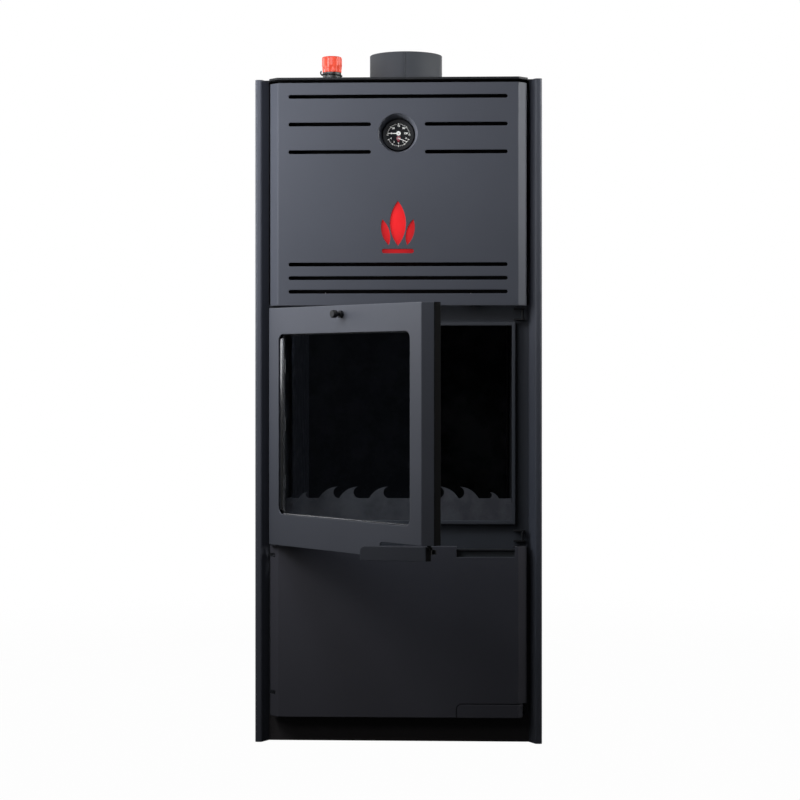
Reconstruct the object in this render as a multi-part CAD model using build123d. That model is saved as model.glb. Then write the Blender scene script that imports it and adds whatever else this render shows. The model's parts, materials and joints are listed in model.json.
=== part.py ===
"""Free-standing boiler stove: sheet-steel casing, welded water jacket, glazed fire door and ash door.

Millimetres, +X to the right, +Y to the back, +Z up. The origin is the centre of the footprint on the floor.
Both doors are drawn shut first. The fire door and its handle are then turned to the open position at rest.
"""
from build123d import *
from math import cos, pi, radians, sin
import os

os.makedirs("parts", exist_ok=True)

# Clear width inside the fire chamber; every width further out follows from it
opening_half_width = 214.0
casing_depth = 600.0
casing_sheet = 1.5
flange_width = 15.0
nose_width = 12.0
nose_depth = 22.0
nose_radius = 5.0
cladding_gap = 8.0
sheet_clearance = 0.2

# Heights of the front, stacked from the floor
plinth_height = 50.0
plinth_sheet = 3.0
ash_door_height = 320.5
door_gap = 3.5
fire_door_height = 443.0
panel_gap = 5.0
panel_height = 418.0
panel_top_gap = 6.0
cover_thickness = 4.0
cover_overhang = 1.0
cladding_drop = 2.0
plate_thickness = 5.0
plate_top_gap = 2.0
plate_side_margin = 20.5

# Folded front trays: upper panel and both doors
tray_stand_out = 34.0
tray_sheet = 2.0
tray_chamfer = 16.0
tray_bend_radius = 3.0
tray_side_flange = 14.0
hinge_side_flange = 8.0
tray_end_flange = 12.0
frame_side_gap = 1.5

# Air slots, gauge opening and ornament of the upper panel
slot_height = 7.0
slot_side_margin = 20.0
slot_gauge_margin = 13.5
top_slot_inset = 26.0
short_slot_inset = 78.0
short_slot_pitch = 52.0
bottom_slot_inset = 26.0
bottom_slot_pitch = 25.5
gauge_inset = 95.0
gauge_window_radius = 37.0
ornament_rise = 147.0
ornament_width = 64.0
ornament_height = 98.0
middle_leaf_length = 84.0
middle_leaf_width = 30.0
side_leaf_length = 50.0
side_leaf_width = 15.0
side_leaf_offset = 17.0
side_leaf_rise = 1.0
side_leaf_lean = 14.0
ornament_bar_length = 60.0
ornament_bar_height = 8.0
backing_margin = 12.0
backing_sheet = 1.2

# Combined temperature and pressure gauge
gauge_rim_radius = 29.0
gauge_body_radius = 26.0
gauge_body_depth = 34.0
gauge_rim_depth = 8.0
gauge_recess_depth = 4.6
dial_radius = 23.0
dial_thickness = 0.6
lens_thickness = 1.2
temperature_offset_z = 3.0
pressure_offset_z = -6.2
pointer_thickness = 0.5
pointer_root_half_width = 1.1
pointer_tip_half_width = 0.35
temperature_needle = 17.0
temperature_hub_radius = 4.3
temperature_rest_angle = 270.0
pressure_needle = 12.0
pressure_hub_radius = 2.6
pressure_rest_angle = 122.0
spindle_radius = 0.8
gauge_running_gap = 0.06
capillary_radius = 1.5
bezel_wall = 1.5

# Door openings and their raised frames
fire_opening_rise = 43.0
fire_opening_drop = 32.0
ash_opening_rise = 34.0
ash_opening_drop = 32.5
lip_width = 6.0
lip_depth = 12.0

# Door inner frames, glass and seals
frame_sheet = 3.0
frame_lip_gap = 9.0
frame_margin = 5.0
jamb_depth = 5.5
rope_width = 9.4
rope_channel_wall = 2.0
rope_channel_depth = 6.0
seal_gap = 0.3
window_side_inset = 19.0
window_rise = 58.0
window_drop = 49.0
window_radius = 13.0
jamb_inset = 2.0
glass_thickness = 4.0
glass_overlap = 10.0
glass_seat_gap = 0.3
clip_width = 26.0
clip_thickness = 1.5
clip_reach = 14.0
clip_end_inset = 60.0

# Hinges and swing
hinge_inset = 10.5
hinge_stand_out = 14.0
hinge_pin_radius = 4.0
hinge_pin_length = 9.0
hinge_ear_radius = 7.0
hinge_ear_thickness = 5.0
hinge_gap = 0.3
hinge_bore_gap = 0.08
hinge_notch_margin = 1.5
fire_door_open_angle = 49.0
fire_hinge_rise = 38.0
ash_hinge_rise = 42.0
hinge_drop = 20.0

# Latch shaft, hooks and handle of each door
shaft_inset = 12.5
shaft_setback = 15.0
shaft_radius = 4.0
shaft_end = 1.0
shaft_bore_gap = 0.08
hook_hub_radius = 4.9
hook_inner_radius = 12.7
hook_outer_radius = 16.2
hook_height = 8.0
hook_tip_angle = 52.0
hook_heel_angle = 105.0
hook_arm_angle = 84.0
hook_inset = 10.0
keeper_pin_radius = 2.5
keeper_pin_reach = 9.7
keeper_pin_angle = 62.0
keeper_ear_thickness = 3.0
keeper_height = 22.0
keeper_inner_reach = 12.0
keeper_outer_reach = 9.0
keeper_stand_out = 13.0
keeper_end_inset = 4.0
guide_height = 12.0
guide_radius = 6.0
guide_inset = 56.0
handle_length = 114.8
handle_height = 24.7
handle_gap = 1.5
handle_corner_radius = 9.0
handle_bend_run = 8.0
handle_hub_radius = 5.6
handle_hub_height = 4.5
handle_hub_drop = 1.5
handle_hub_half_width = 5.0
handle_open_angle = 39.0
finger_notch_margin = 0.7
finger_notch_side_inset = 6.5
finger_notch_depth = 20.0

# Pull knob of the air valve in the fire door
knob_inset = 16.0
knob_radius = 7.0
knob_length = 22.0
knob_neck_radius = 3.5
knob_base_radius = 6.5
knob_base_length = 5.0
knob_head_length = 10.0
knob_stand_off = 0.3
knob_travel = 5.0
valve_disc_radius = 7.0
valve_disc_thickness = 2.0
valve_disc_gap = 0.3
valve_port_radius = 5.0
valve_rod_gap = 0.1

# Water jacket and fire chamber
inner_wall = 5.0
outer_wall = 4.0
water_gap = 27.0
rear_space = 95.0
base_plate_thickness = 4.0
baffle_rise = 59.0
baffle_thickness = 8.0
baffle_setback = 88.0
top_space = 141.0
top_water_depth = 65.0
jacket_plate = 5.0
tube_radius = 30.0
tube_wall = 4.0
tube_fit_gap = 0.05
tube_setback = 113.0
tube_pitch = 100.0
tube_rise = 61.0
tube_step = 30.0
ledge_width = 12.0
ledge_thickness = 6.0
stay_radius = 7.0
stay_rise = 126.0
stay_row_pitch = 210.0
stay_setback = 73.0
stay_column_pitch = 123.0
stay_count = 4
loose_fit = 1.0

# Hearth, grate and log guard
hearth_drop = 17.0
hearth_thickness = 6.0
grate_length = 256.0
grate_depth = 216.0
grate_setback = 233.0
grate_rim = 12.0
grate_rim_thickness = 4.0
grate_body_drop = 12.0
grate_slot_width = 9.0
grate_slot_pitch = 20.0
rest_gap = 0.3
guard_setback = 23.0
guard_thickness = 4.0
guard_height = 51.0
guard_side_gap = 0.6
wave_height = 22.0
wave_length = 36.0
outer_wave_inset = 98.5
middle_wave_inset = 137.0
inner_wave_tip = 20.0
small_wave_height = 12.0
small_wave_length = 17.0
small_wave_inset = 41.5
wave_root = 1.0
guard_slot_gap = 0.3
guard_post_width = 12.0
guard_post_depth = 6.0
guard_post_height = 42.0

# Ash pan and its runners
pan_side_gap = 34.0
pan_setback = 11.0
pan_rear_gap = 65.0
pan_height = 80.0
pan_sheet = 1.5
pan_grip_half_width = 50.0
pan_grip_reach = 22.0
pan_grip_radius = 4.0
runner_inset = 40.0
runner_width = 20.0
runner_sheet = 3.0

# Flue spigot and pipe sockets
flue_radius = 75.0
flue_wall = 3.0
flue_foot_wall = 2.0
flue_rear_inset = 98.0
flue_height = 103.0
flue_foot_height = 6.0
flue_cover_gap = 0.6
socket_outer_radius = 21.0
socket_bore_radius = 15.15
socket_thread_length = 22.0
socket_passage_radius = 12.5
socket_stand_out = 6.0
socket_side_inset = 69.0
flow_socket_drop = 35.0
return_socket_rise = 66.0
socket_hole_gap = 2.0

# Primary air duct and flap at the back
duct_half_width = 50.0
duct_rise = 21.0
duct_height = 60.0
duct_wall = 2.5
duct_stand_out = 3.0
duct_hole_gap = 1.0
flap_gap = 0.5
flap_thickness = 2.5
flap_axis_stand_out = 5.0
flap_axis_rise = 9.0
flap_pin_radius = 2.0
flap_knuckle_radius = 4.0
flap_lug_width = 6.0
flap_overhang = 2.0

# Safety valve on its riser
valve_side_inset = 125.0
valve_rear_inset = 320.0
riser_radius = 10.7
riser_bore_radius = 8.0
riser_stand_out = 12.0
riser_hole_gap = 2.5
valve_hex_across_flats = 27.0
valve_hex_height = 12.0
valve_neck_radius = 11.5
valve_body_height = 28.0
valve_collar_radius = 18.6
valve_collar_height = 12.0
valve_cap_height = 32.5
valve_cap_radius = 20.4
valve_cap_wall = 3.0
valve_cap_gap = 0.3
valve_stem_radius = 6.0
cap_flute_count = 12
cap_flute_radius = 2.4

# Casing screws
screw_radius = 2.1
screw_head_radius = 4.6
screw_head_height = 2.6
screw_length = 10.0
screw_hole_gap = 0.2
cover_screw_inset = 9.0
cover_screw_front_inset = 65.0
cover_screw_rear_inset = 35.0
back_screw_inset = 8.5
back_screw_end_inset = 46.0
back_screw_rise = 60.0
back_screw_rows = 4
panel_screw_inset = 88.5
panel_screw_setback = 15.0
panel_screw_reach = 12.0
bracket_thickness = 3.0
bracket_width = 24.0
bracket_rise = 13.0

# Widths, from the fire chamber outwards
jacket_inner_x = opening_half_width + inner_wall
jacket_outer_x = jacket_inner_x + water_gap
shell_outer_x = jacket_outer_x + outer_wall
rope_centre_x = opening_half_width + lip_width / 2
channel_inner_x = rope_centre_x - rope_width / 2 - seal_gap
channel_outer_x = rope_centre_x + rope_width / 2 + seal_gap
frame_half_width = channel_outer_x + rope_channel_wall
tray_bend_x = frame_half_width + frame_side_gap
tray_outer_x = tray_bend_x + tray_chamfer
plate_half_width = tray_outer_x + plate_side_margin
half_width = plate_half_width + cladding_gap
inner_face_x = half_width - casing_sheet
return_end_x = tray_outer_x + tray_chamfer / 4
window_half_width = opening_half_width - window_side_inset
slot_outer_x = tray_bend_x - slot_side_margin
slot_inner_x = gauge_window_radius + slot_gauge_margin
panel_screw_x = tray_bend_x - panel_screw_inset
hinge_x = hinge_inset - tray_outer_x
shaft_x = tray_outer_x - shaft_inset
keeper_inner_x = shaft_x - keeper_inner_reach
keeper_outer_x = shaft_x + keeper_outer_reach
handle_left_x = tray_bend_x - handle_length
finger_notch_left_x = handle_left_x - finger_notch_margin
finger_notch_right_x = tray_bend_x - finger_notch_side_inset
pan_half_width = opening_half_width - pan_side_gap
runner_half_spacing = pan_half_width - runner_inset
flow_socket_x = socket_side_inset - jacket_inner_x
return_socket_x = jacket_inner_x - socket_side_inset
flap_lug_inner_x = duct_half_width - flap_lug_width
valve_x = valve_side_inset - half_width
cover_screw_x = half_width - cover_screw_inset
back_screw_x = half_width - back_screw_inset
small_wave_tip = opening_half_width - small_wave_inset
wave_tips = (opening_half_width - outer_wave_inset, opening_half_width - middle_wave_inset, inner_wave_tip)

# Depths, from the casing's middle
front_edge_y = -casing_depth / 2
rear_y = casing_depth / 2
plate_front_y = front_edge_y + nose_depth
plate_back_y = plate_front_y + plate_thickness
tray_front_y = plate_front_y - tray_stand_out
tray_back_y = tray_front_y + tray_sheet
tray_shoulder_y = tray_front_y + tray_chamfer
frame_back_y = plate_front_y - lip_depth - frame_lip_gap
frame_front_y = frame_back_y - frame_sheet
hinge_y = plate_front_y - hinge_stand_out
shaft_y = tray_front_y + shaft_setback
keeper_front_y = plate_front_y - keeper_stand_out
chamber_back_y = rear_y - rear_space
chamber_wall_back_y = chamber_back_y + inner_wall
shell_inner_y = chamber_wall_back_y + water_gap + outer_wall
shell_outer_y = shell_inner_y + outer_wall
baffle_front_y = plate_back_y + baffle_setback
grate_y = plate_back_y + grate_setback
guard_y = plate_back_y + guard_setback
pan_front_y = plate_back_y + pan_setback
pan_back_y = chamber_back_y - pan_rear_gap
stay_columns = tuple(plate_back_y + stay_setback + stay_column_pitch * i for i in range(stay_count))
flue_y = chamber_back_y - flue_rear_inset
socket_end_y = rear_y + socket_stand_out
flap_axis_y = rear_y + flap_axis_stand_out
valve_y = rear_y - valve_rear_inset
gauge_front_y = plate_front_y - gauge_rim_depth
dial_y = gauge_front_y + gauge_recess_depth
panel_screw_y = tray_front_y + panel_screw_setback
cover_screw_rows = (front_edge_y + cover_screw_front_inset, rear_y - cover_screw_rear_inset)

# Heights, from the floor up
floor_z = plinth_height + base_plate_thickness
ash_door_bottom_z = plinth_height
ash_door_top_z = ash_door_bottom_z + ash_door_height
fire_door_bottom_z = ash_door_top_z + door_gap
fire_door_top_z = fire_door_bottom_z + fire_door_height
panel_bottom_z = fire_door_top_z + panel_gap
panel_top_z = panel_bottom_z + panel_height
cover_bottom_z = panel_top_z + panel_top_gap
cover_top_z = cover_bottom_z + cover_thickness
cladding_height = cover_top_z - cladding_drop
plate_top_z = cover_bottom_z - plate_top_gap
fire_opening_bottom_z = fire_door_bottom_z + fire_opening_rise
fire_opening_top_z = fire_door_top_z - fire_opening_drop
ash_opening_bottom_z = ash_door_bottom_z + ash_opening_rise
ash_opening_top_z = ash_door_top_z - ash_opening_drop
window_bottom_z = fire_door_bottom_z + window_rise
window_top_z = fire_door_top_z - window_drop
window_centre_z = (window_bottom_z + window_top_z) / 2
clip_levels = (window_bottom_z + clip_end_inset, window_centre_z, window_top_z - clip_end_inset)
fire_hinge_levels = (fire_door_bottom_z + fire_hinge_rise, fire_door_top_z - hinge_drop)
ash_hinge_levels = (ash_door_bottom_z + ash_hinge_rise, ash_door_top_z - hinge_drop)
knob_z = fire_door_top_z - knob_inset
top_slot_z = panel_top_z - top_slot_inset
short_slot_levels = (panel_top_z - short_slot_inset, panel_top_z - short_slot_inset - short_slot_pitch)
bottom_slot_levels = tuple(panel_bottom_z + bottom_slot_inset + bottom_slot_pitch * i for i in range(3))
gauge_z = panel_top_z - gauge_inset
ornament_z = panel_bottom_z + ornament_rise
bracket_z = panel_bottom_z + bracket_rise
panel_screw_tip_z = bracket_z + panel_screw_reach
hearth_z = fire_opening_bottom_z - hearth_drop
hearth_top_z = hearth_z + hearth_thickness
guard_flat_z = hearth_top_z + guard_height
baffle_z = fire_opening_top_z + baffle_rise
boiler_top_z = cover_bottom_z - top_space
crown_z = boiler_top_z - top_water_depth
tube_places = tuple((plate_back_y + tube_setback + tube_pitch * i, baffle_z + tube_rise + tube_step * i)
                    for i in range(3))
stay_rows = tuple(floor_z + stay_rise + stay_row_pitch * i for i in range(stay_count))
pan_floor_z = ash_opening_bottom_z + 3 * rest_gap + runner_sheet
flue_base_radius = flue_radius + flue_foot_wall
flue_top_z = cover_top_z + flue_height
flue_base_top_z = cover_top_z + flue_foot_height
flow_socket_z = boiler_top_z - flow_socket_drop
return_socket_z = floor_z + return_socket_rise
duct_bottom_z = ash_opening_bottom_z + duct_rise
duct_top_z = duct_bottom_z + duct_height
flap_axis_z = duct_top_z + flap_axis_rise
riser_top_z = cover_top_z + riser_stand_out
valve_collar_bottom_z = riser_top_z + valve_body_height
valve_cap_bottom_z = valve_collar_bottom_z + valve_collar_height
back_screw_first_z = plinth_height + back_screw_rise
back_screw_pitch = (cover_bottom_z - back_screw_end_inset - back_screw_first_z) / (back_screw_rows - 1)
back_screw_levels = tuple(back_screw_first_z + back_screw_pitch * i for i in range(back_screw_rows))


def save(node, shape):
    """Write one sub-part."""
    export_step(shape, f"parts/{node}.step")


def box(x0, x1, y0, y1, z0, z1):
    """Block between two planes on each axis."""
    return Pos((x0 + x1) / 2, (y0 + y1) / 2, (z0 + z1) / 2) * Box(x1 - x0, y1 - y0, z1 - z0)


def rod_x(y, z, radius, x0, x1):
    """Round bar along X."""
    return Pos((x0 + x1) / 2, y, z) * Rot(0, 90, 0) * Cylinder(radius, x1 - x0)


def rod_y(x, z, radius, y0, y1):
    """Round bar along Y."""
    return Pos(x, (y0 + y1) / 2, z) * Rot(90, 0, 0) * Cylinder(radius, y1 - y0)


def rod_z(x, y, radius, z0, z1):
    """Round bar along Z."""
    return Pos(x, y, (z0 + z1) / 2) * Cylinder(radius, z1 - z0)


def prism(points, z0, z1):
    """Upright block over a plan outline."""
    return Pos(0, 0, z0) * extrude(make_face(Polyline(*points, close=True)), z1 - z0)


def front_cut(sketch, x, z, y0, y1):
    """Block of a front-view outline between two depths."""
    return Pos(x, y1, z) * Rot(90, 0, 0) * extrude(sketch, y1 - y0)


def ring(half_x, z0, z1, width, y0, y1):
    """Rectangular frame seen from the front; the sizes are those of its hole."""
    outer = box(-half_x - width, half_x + width, y0, y1, z0 - width, z1 + width)
    return outer - box(-half_x, half_x, y0, y1, z0, z1)


def offset_point(before, corner, after, thickness):
    """Corner of a folded sheet's other face, to the left of the walk."""
    (ax, ay), (bx, by), (cx, cy) = before, corner, after
    first = Vector(bx - ax, by - ay).normalized()
    second = Vector(cx - bx, cy - by).normalized()
    left_first = Vector(-first.Y, first.X)
    left_second = Vector(-second.Y, second.X)
    middle = (left_first + left_second).normalized()
    reach = thickness / middle.dot(left_first)
    return (bx + middle.X * reach, by + middle.Y * reach)


def folded_sheet(points, thickness, bend_radius, z0, z1):
    """Upright sheet folded along a plan line, with rounded bends on both faces."""
    first, last = points[0], points[-1]
    ahead = [(2 * first[0] - points[1][0], 2 * first[1] - points[1][1])]
    behind = [(2 * last[0] - points[-2][0], 2 * last[1] - points[-2][1])]
    walk = ahead + list(points) + behind
    other = [offset_point(walk[i - 1], walk[i], walk[i + 1], thickness) for i in range(1, len(walk) - 1)]
    face = make_face(Polyline(*points, *reversed(other), close=True))
    inside_radius = max(bend_radius - abs(thickness), 0.4)
    for index in range(1, len(points) - 1):
        # The outside of a bend is the corner that lies further from the chord of its neighbours.
        middle_x = (points[index - 1][0] + points[index + 1][0]) / 2
        middle_y = (points[index - 1][1] + points[index + 1][1]) / 2
        near = Vector(points[index][0] - middle_x, points[index][1] - middle_y).length
        far = Vector(other[index][0] - middle_x, other[index][1] - middle_y).length
        own, opposite = (bend_radius, inside_radius) if near > far else (inside_radius, bend_radius)
        for place, radius in ((points[index], own), (other[index], opposite)):
            corner = face.vertices().sort_by_distance((place[0], place[1], 0))[0]
            face = fillet(corner, radius)
    return Pos(0, 0, z0) * extrude(face, z1 - z0)


def tray(z0, z1, left_flange, right_flange):
    """Front sheet with chamfered sides, side flanges and end flanges."""
    points = [
        (-tray_outer_x, tray_shoulder_y + left_flange),
        (-tray_outer_x, tray_shoulder_y),
        (-tray_bend_x, tray_front_y),
        (tray_bend_x, tray_front_y),
        (tray_outer_x, tray_shoulder_y),
        (tray_outer_x, tray_shoulder_y + right_flange),
    ]
    sheet = folded_sheet(points, tray_sheet, tray_bend_radius, z0, z1)
    flange_x = tray_bend_x - tray_sheet
    flange_y = tray_back_y + tray_end_flange
    sheet += box(-flange_x, flange_x, tray_back_y, flange_y, z0, z0 + tray_sheet)
    sheet += box(-flange_x, flange_x, tray_back_y, flange_y, z1 - tray_sheet, z1)
    return sheet


def screw(x, y, z, direction):
    """Pan-head screw; the place is under its head and the direction is where its tip points."""
    shank = Pos(0, 0, -screw_length / 2) * Cylinder(screw_radius, screw_length)
    head = Pos(0, 0, screw_head_height / 2) * Cylinder(screw_head_radius, screw_head_height)
    head = fillet(head.edges().group_by(Axis.Z)[-1], screw_head_height / 2)
    turns = {"down": Rot(0, 0, 0), "front": Rot(-90, 0, 0), "up": Rot(180, 0, 0)}
    return Pos(x, y, z) * turns[direction] * (shank + head)


def cover_screw_places():
    """Places of the screws that hold the top cover."""
    return [(side * cover_screw_x, y) for side in (-1, 1) for y in cover_screw_rows]


def back_screw_places():
    """Places of the screws that hold the back cover."""
    return [(side * back_screw_x, z) for side in (-1, 1) for z in back_screw_levels]


def swing_to_rest(shape):
    """Turn a piece of the shut fire door to the open position at rest."""
    return shape.rotate(Axis((hinge_x, hinge_y, 0), (0, 0, 1)), -fire_door_open_angle)


def swing_handle(shape):
    """Turn a piece of the fire door's latch out with its handle."""
    return shape.rotate(Axis((shaft_x, shaft_y, 0), (0, 0, 1)), handle_open_angle)


# Casing

def side_panel(side):
    """Cladding with a rounded nose at the front and flanges at the back and top."""
    rear_face_y = rear_y - casing_sheet
    points = [
        (half_width - flange_width, rear_face_y),
        (half_width, rear_face_y),
        (half_width, front_edge_y),
        (half_width - nose_width, front_edge_y),
        (return_end_x, plate_front_y),
    ]
    sheet = folded_sheet(points, -casing_sheet, nose_radius, 0, cladding_height)
    flange_top = cover_bottom_z
    flange_inner_x = half_width - flange_width
    top_flange = box(flange_inner_x, inner_face_x, cover_screw_rows[0] - flange_width,
                     rear_face_y - casing_sheet, flange_top - casing_sheet, flange_top)
    sheet += top_flange
    plate_side = plate_half_width + plinth_sheet + sheet_clearance
    sheet -= box(0, plate_side, plate_front_y, plate_back_y, 0, cladding_height)
    sheet -= box(0, inner_face_x, rear_face_y - nose_radius, rear_y, flange_top, cladding_height)
    hole_radius = screw_radius + screw_hole_gap
    for y in cover_screw_rows:
        sheet -= rod_z(cover_screw_x, y, hole_radius, flange_top - 2 * casing_sheet, flange_top)
    for z in back_screw_levels:
        sheet -= rod_y(back_screw_x, z, hole_radius, rear_face_y - 2 * casing_sheet, rear_face_y)
    return sheet if side > 0 else sheet.mirror(Plane.YZ)


def back_cover():
    """Flat rear sheet with holes for the pipe sockets and the air duct."""
    half = inner_face_x - sheet_clearance
    rear_face_y = rear_y - casing_sheet
    sheet = box(-half, half, rear_face_y, rear_y, plinth_height, cover_bottom_z)
    for x, z in ((flow_socket_x, flow_socket_z), (return_socket_x, return_socket_z)):
        sheet -= rod_y(x, z, socket_outer_radius + socket_hole_gap, rear_face_y, rear_y)
    duct_half = duct_half_width + duct_hole_gap
    duct_low, duct_high = duct_bottom_z - duct_hole_gap, duct_top_z + duct_hole_gap
    sheet -= box(-duct_half, duct_half, rear_face_y, rear_y, duct_low, duct_high)
    for x, z in back_screw_places():
        sheet -= rod_y(x, z, screw_radius + screw_hole_gap, rear_face_y, rear_y)
    return sheet


def top_cover():
    """Lid between the claddings, reaching forward over the upper panel."""
    half = inner_face_x - sheet_clearance
    neck = tray_outer_x + tray_sheet
    front_y = tray_front_y - cover_overhang
    bend = tray_bend_x + cover_overhang
    shoulder_y = front_y + (neck - bend)
    wide_y = plate_front_y + tray_sheet
    points = [
        (-half, rear_y), (-half, wide_y), (-neck, wide_y), (-neck, shoulder_y), (-bend, front_y),
        (bend, front_y), (neck, shoulder_y), (neck, wide_y), (half, wide_y), (half, rear_y),
    ]
    plate = prism(points, cover_bottom_z, cover_top_z)
    plate -= rod_z(0, flue_y, flue_base_radius + flue_cover_gap, cover_bottom_z, cover_top_z)
    plate -= rod_z(valve_x, valve_y, riser_radius + riser_hole_gap, cover_bottom_z, cover_top_z)
    for x, y in cover_screw_places():
        plate -= rod_z(x, y, screw_radius + screw_hole_gap, cover_bottom_z, cover_top_z)
    return plate


def leaf(length, width, angle):
    """Pointed leaf outline that stands on the origin, tilted in the front view."""
    half = width / 2
    left = ThreePointArc((0, 0), (-half, length / 2), (0, length))
    right = ThreePointArc((0, length), (half, length / 2), (0, 0))
    return Rot(0, 0, angle) * make_face(left + right)


def ornament_outlines():
    """Plain leaf ornament: a tall leaf between two short ones, over a bar."""
    foot = -ornament_height / 2
    stem_z = ornament_height / 2 - middle_leaf_length
    outlines = [Pos(0, stem_z) * leaf(middle_leaf_length, middle_leaf_width, 0)]
    for side in (-1, 1):
        side_leaf = leaf(side_leaf_length, side_leaf_width, -side * side_leaf_lean)
        outlines.append(Pos(side * side_leaf_offset, stem_z + side_leaf_rise) * side_leaf)
    bar = SlotOverall(ornament_bar_length, ornament_bar_height)
    outlines.append(Pos(0, foot + ornament_bar_height / 2) * bar)
    return outlines


def upper_front_panel():
    """Folded front with air slots, gauge opening and ornament."""
    panel = tray(panel_bottom_z, panel_top_z, tray_side_flange, tray_side_flange)
    long_slot = SlotOverall(2 * slot_outer_x, slot_height)
    short_slot = SlotOverall(slot_outer_x - slot_inner_x, slot_height)
    for z in (top_slot_z, *bottom_slot_levels):
        panel -= front_cut(long_slot, 0, z, tray_front_y, tray_back_y)
    short_x = (slot_outer_x + slot_inner_x) / 2
    for z in short_slot_levels:
        for side in (-1, 1):
            panel -= front_cut(short_slot, side * short_x, z, tray_front_y, tray_back_y)
    panel -= rod_y(0, gauge_z, gauge_window_radius, tray_front_y, tray_back_y)
    for outline in ornament_outlines():
        panel -= front_cut(outline, 0, ornament_z, tray_front_y, tray_back_y)
    for side in (-1, 1):
        panel -= rod_z(side * panel_screw_x, panel_screw_y, screw_radius + screw_hole_gap,
                       panel_bottom_z, panel_bottom_z + tray_sheet)
    return panel


def ornament_backing_plate():
    """Red sheet behind the ornament."""
    half = ornament_width / 2 + backing_margin
    tall = ornament_height / 2 + backing_margin
    return box(-half, half, tray_back_y, tray_back_y + backing_sheet, ornament_z - tall, ornament_z + tall)


def casing_screws():
    """All pan-head screws of the casing."""
    screws = [screw(x, y, cover_top_z, "down") for x, y in cover_screw_places()]
    screws += [screw(x, rear_y, z, "front") for x, z in back_screw_places()]
    for side in (-1, 1):
        place = (side * panel_screw_x, panel_screw_y)
        head = rod_z(*place, screw_head_radius, panel_bottom_z - screw_head_height, panel_bottom_z)
        screws.append(head + rod_z(*place, screw_radius, panel_bottom_z, panel_screw_tip_z))
    return Compound(screws)


def plinth():
    """Closed tray under the stove."""
    half = plate_half_width + plinth_sheet
    back = rear_y - casing_sheet - plinth_sheet
    outside = box(-half, half, plate_front_y, back, 0, plinth_height)
    return outside - box(-half + plinth_sheet, half - plinth_sheet, plate_front_y + plinth_sheet,
                         back - plinth_sheet, plinth_sheet, plinth_height)


def base_plate():
    """Floor of the ash compartment; it also closes the water jacket below."""
    return box(-plate_half_width, plate_half_width, plate_back_y, shell_outer_y, plinth_height, floor_z)


# Boiler

def front_plate():
    """Front wall of the boiler with the door openings and the upper panel's brackets."""
    plate = box(-plate_half_width, plate_half_width, plate_front_y, plate_back_y, plinth_height, plate_top_z)
    half = opening_half_width
    plate -= box(-half, half, plate_front_y, plate_back_y, fire_opening_bottom_z, fire_opening_top_z)
    plate -= box(-half, half, plate_front_y, plate_back_y, ash_opening_bottom_z, ash_opening_top_z)
    plate -= rod_y(0, gauge_z, gauge_body_radius + gauge_running_gap, plate_front_y, plate_back_y)
    for side in (-1, 1):
        x = side * panel_screw_x
        shelf = box(x - bracket_width / 2, x + bracket_width / 2, panel_screw_y - 2 * screw_head_radius,
                    plate_front_y, bracket_z - bracket_thickness, bracket_z)
        hole_radius = screw_radius + screw_hole_gap
        shelf -= rod_z(x, panel_screw_y, hole_radius, bracket_z - bracket_thickness, bracket_z)
        plate += shelf
    return plate


def opening_lip(z0, z1):
    """Raised frame that the door seal closes on."""
    return ring(opening_half_width, z0, z1, lip_width, plate_front_y - lip_depth, plate_front_y)


def outer_side_wall(side):
    """Outer side of the water jacket."""
    x0, x1 = sorted((side * jacket_outer_x, side * shell_outer_x))
    return box(x0, x1, plate_back_y, shell_outer_y, floor_z, boiler_top_z)


def outer_rear_wall():
    """Outer back of the water jacket, open at the sockets and round the air duct."""
    wall = box(-jacket_outer_x, jacket_outer_x, shell_inner_y, shell_outer_y, floor_z, boiler_top_z)
    for x, z in ((flow_socket_x, flow_socket_z), (return_socket_x, return_socket_z)):
        wall -= rod_y(x, z, socket_passage_radius, shell_inner_y, shell_outer_y)
    return wall - box(-duct_half_width, duct_half_width, shell_inner_y, shell_outer_y,
                      duct_bottom_z, duct_top_z)


def inner_side_wall(side):
    """Side of the fire chamber with holes for the water tubes and ledges for the hearth and baffle."""
    x0, x1 = sorted((side * opening_half_width, side * jacket_inner_x))
    wall = box(x0, x1, plate_back_y, chamber_wall_back_y, floor_z, crown_z)
    for y, z in tube_places:
        wall -= rod_x(y, z, tube_radius + tube_fit_gap, x0, x1)
    l0, l1 = sorted((side * (opening_half_width - ledge_width), side * opening_half_width))
    for top, front in ((hearth_z, plate_back_y + loose_fit), (baffle_z, baffle_front_y)):
        wall += box(l0, l1, front, chamber_back_y - loose_fit, top - ledge_thickness, top)
    return wall


def inner_rear_wall():
    """Back of the fire chamber with the air duct's hole."""
    half = opening_half_width
    wall = box(-half, half, chamber_back_y, chamber_wall_back_y, floor_z, crown_z)
    return wall - box(-duct_half_width, duct_half_width, chamber_back_y, chamber_wall_back_y,
                      duct_bottom_z, duct_top_z)


def crown_plate():
    """Roof of the fire chamber."""
    plate = box(-jacket_inner_x, jacket_inner_x, plate_back_y, chamber_wall_back_y,
                crown_z, crown_z + jacket_plate)
    return plate - rod_z(0, flue_y, flue_base_radius + tube_fit_gap, crown_z, crown_z + jacket_plate)


def boiler_top_plate():
    """Top of the water jacket with the gauge's sensor pocket."""
    top = boiler_top_z + jacket_plate
    plate = box(-shell_outer_x, shell_outer_x, plate_back_y, shell_outer_y, boiler_top_z, top)
    plate -= rod_z(0, flue_y, flue_base_radius + tube_fit_gap, boiler_top_z, top)
    plate -= rod_z(valve_x, valve_y, riser_bore_radius, boiler_top_z, top)
    pocket_y = plate_front_y + gauge_body_depth + 4 * capillary_radius
    pocket = rod_z(0, pocket_y, 4 * capillary_radius, top, top + 3 * capillary_radius)
    return plate + pocket


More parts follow.
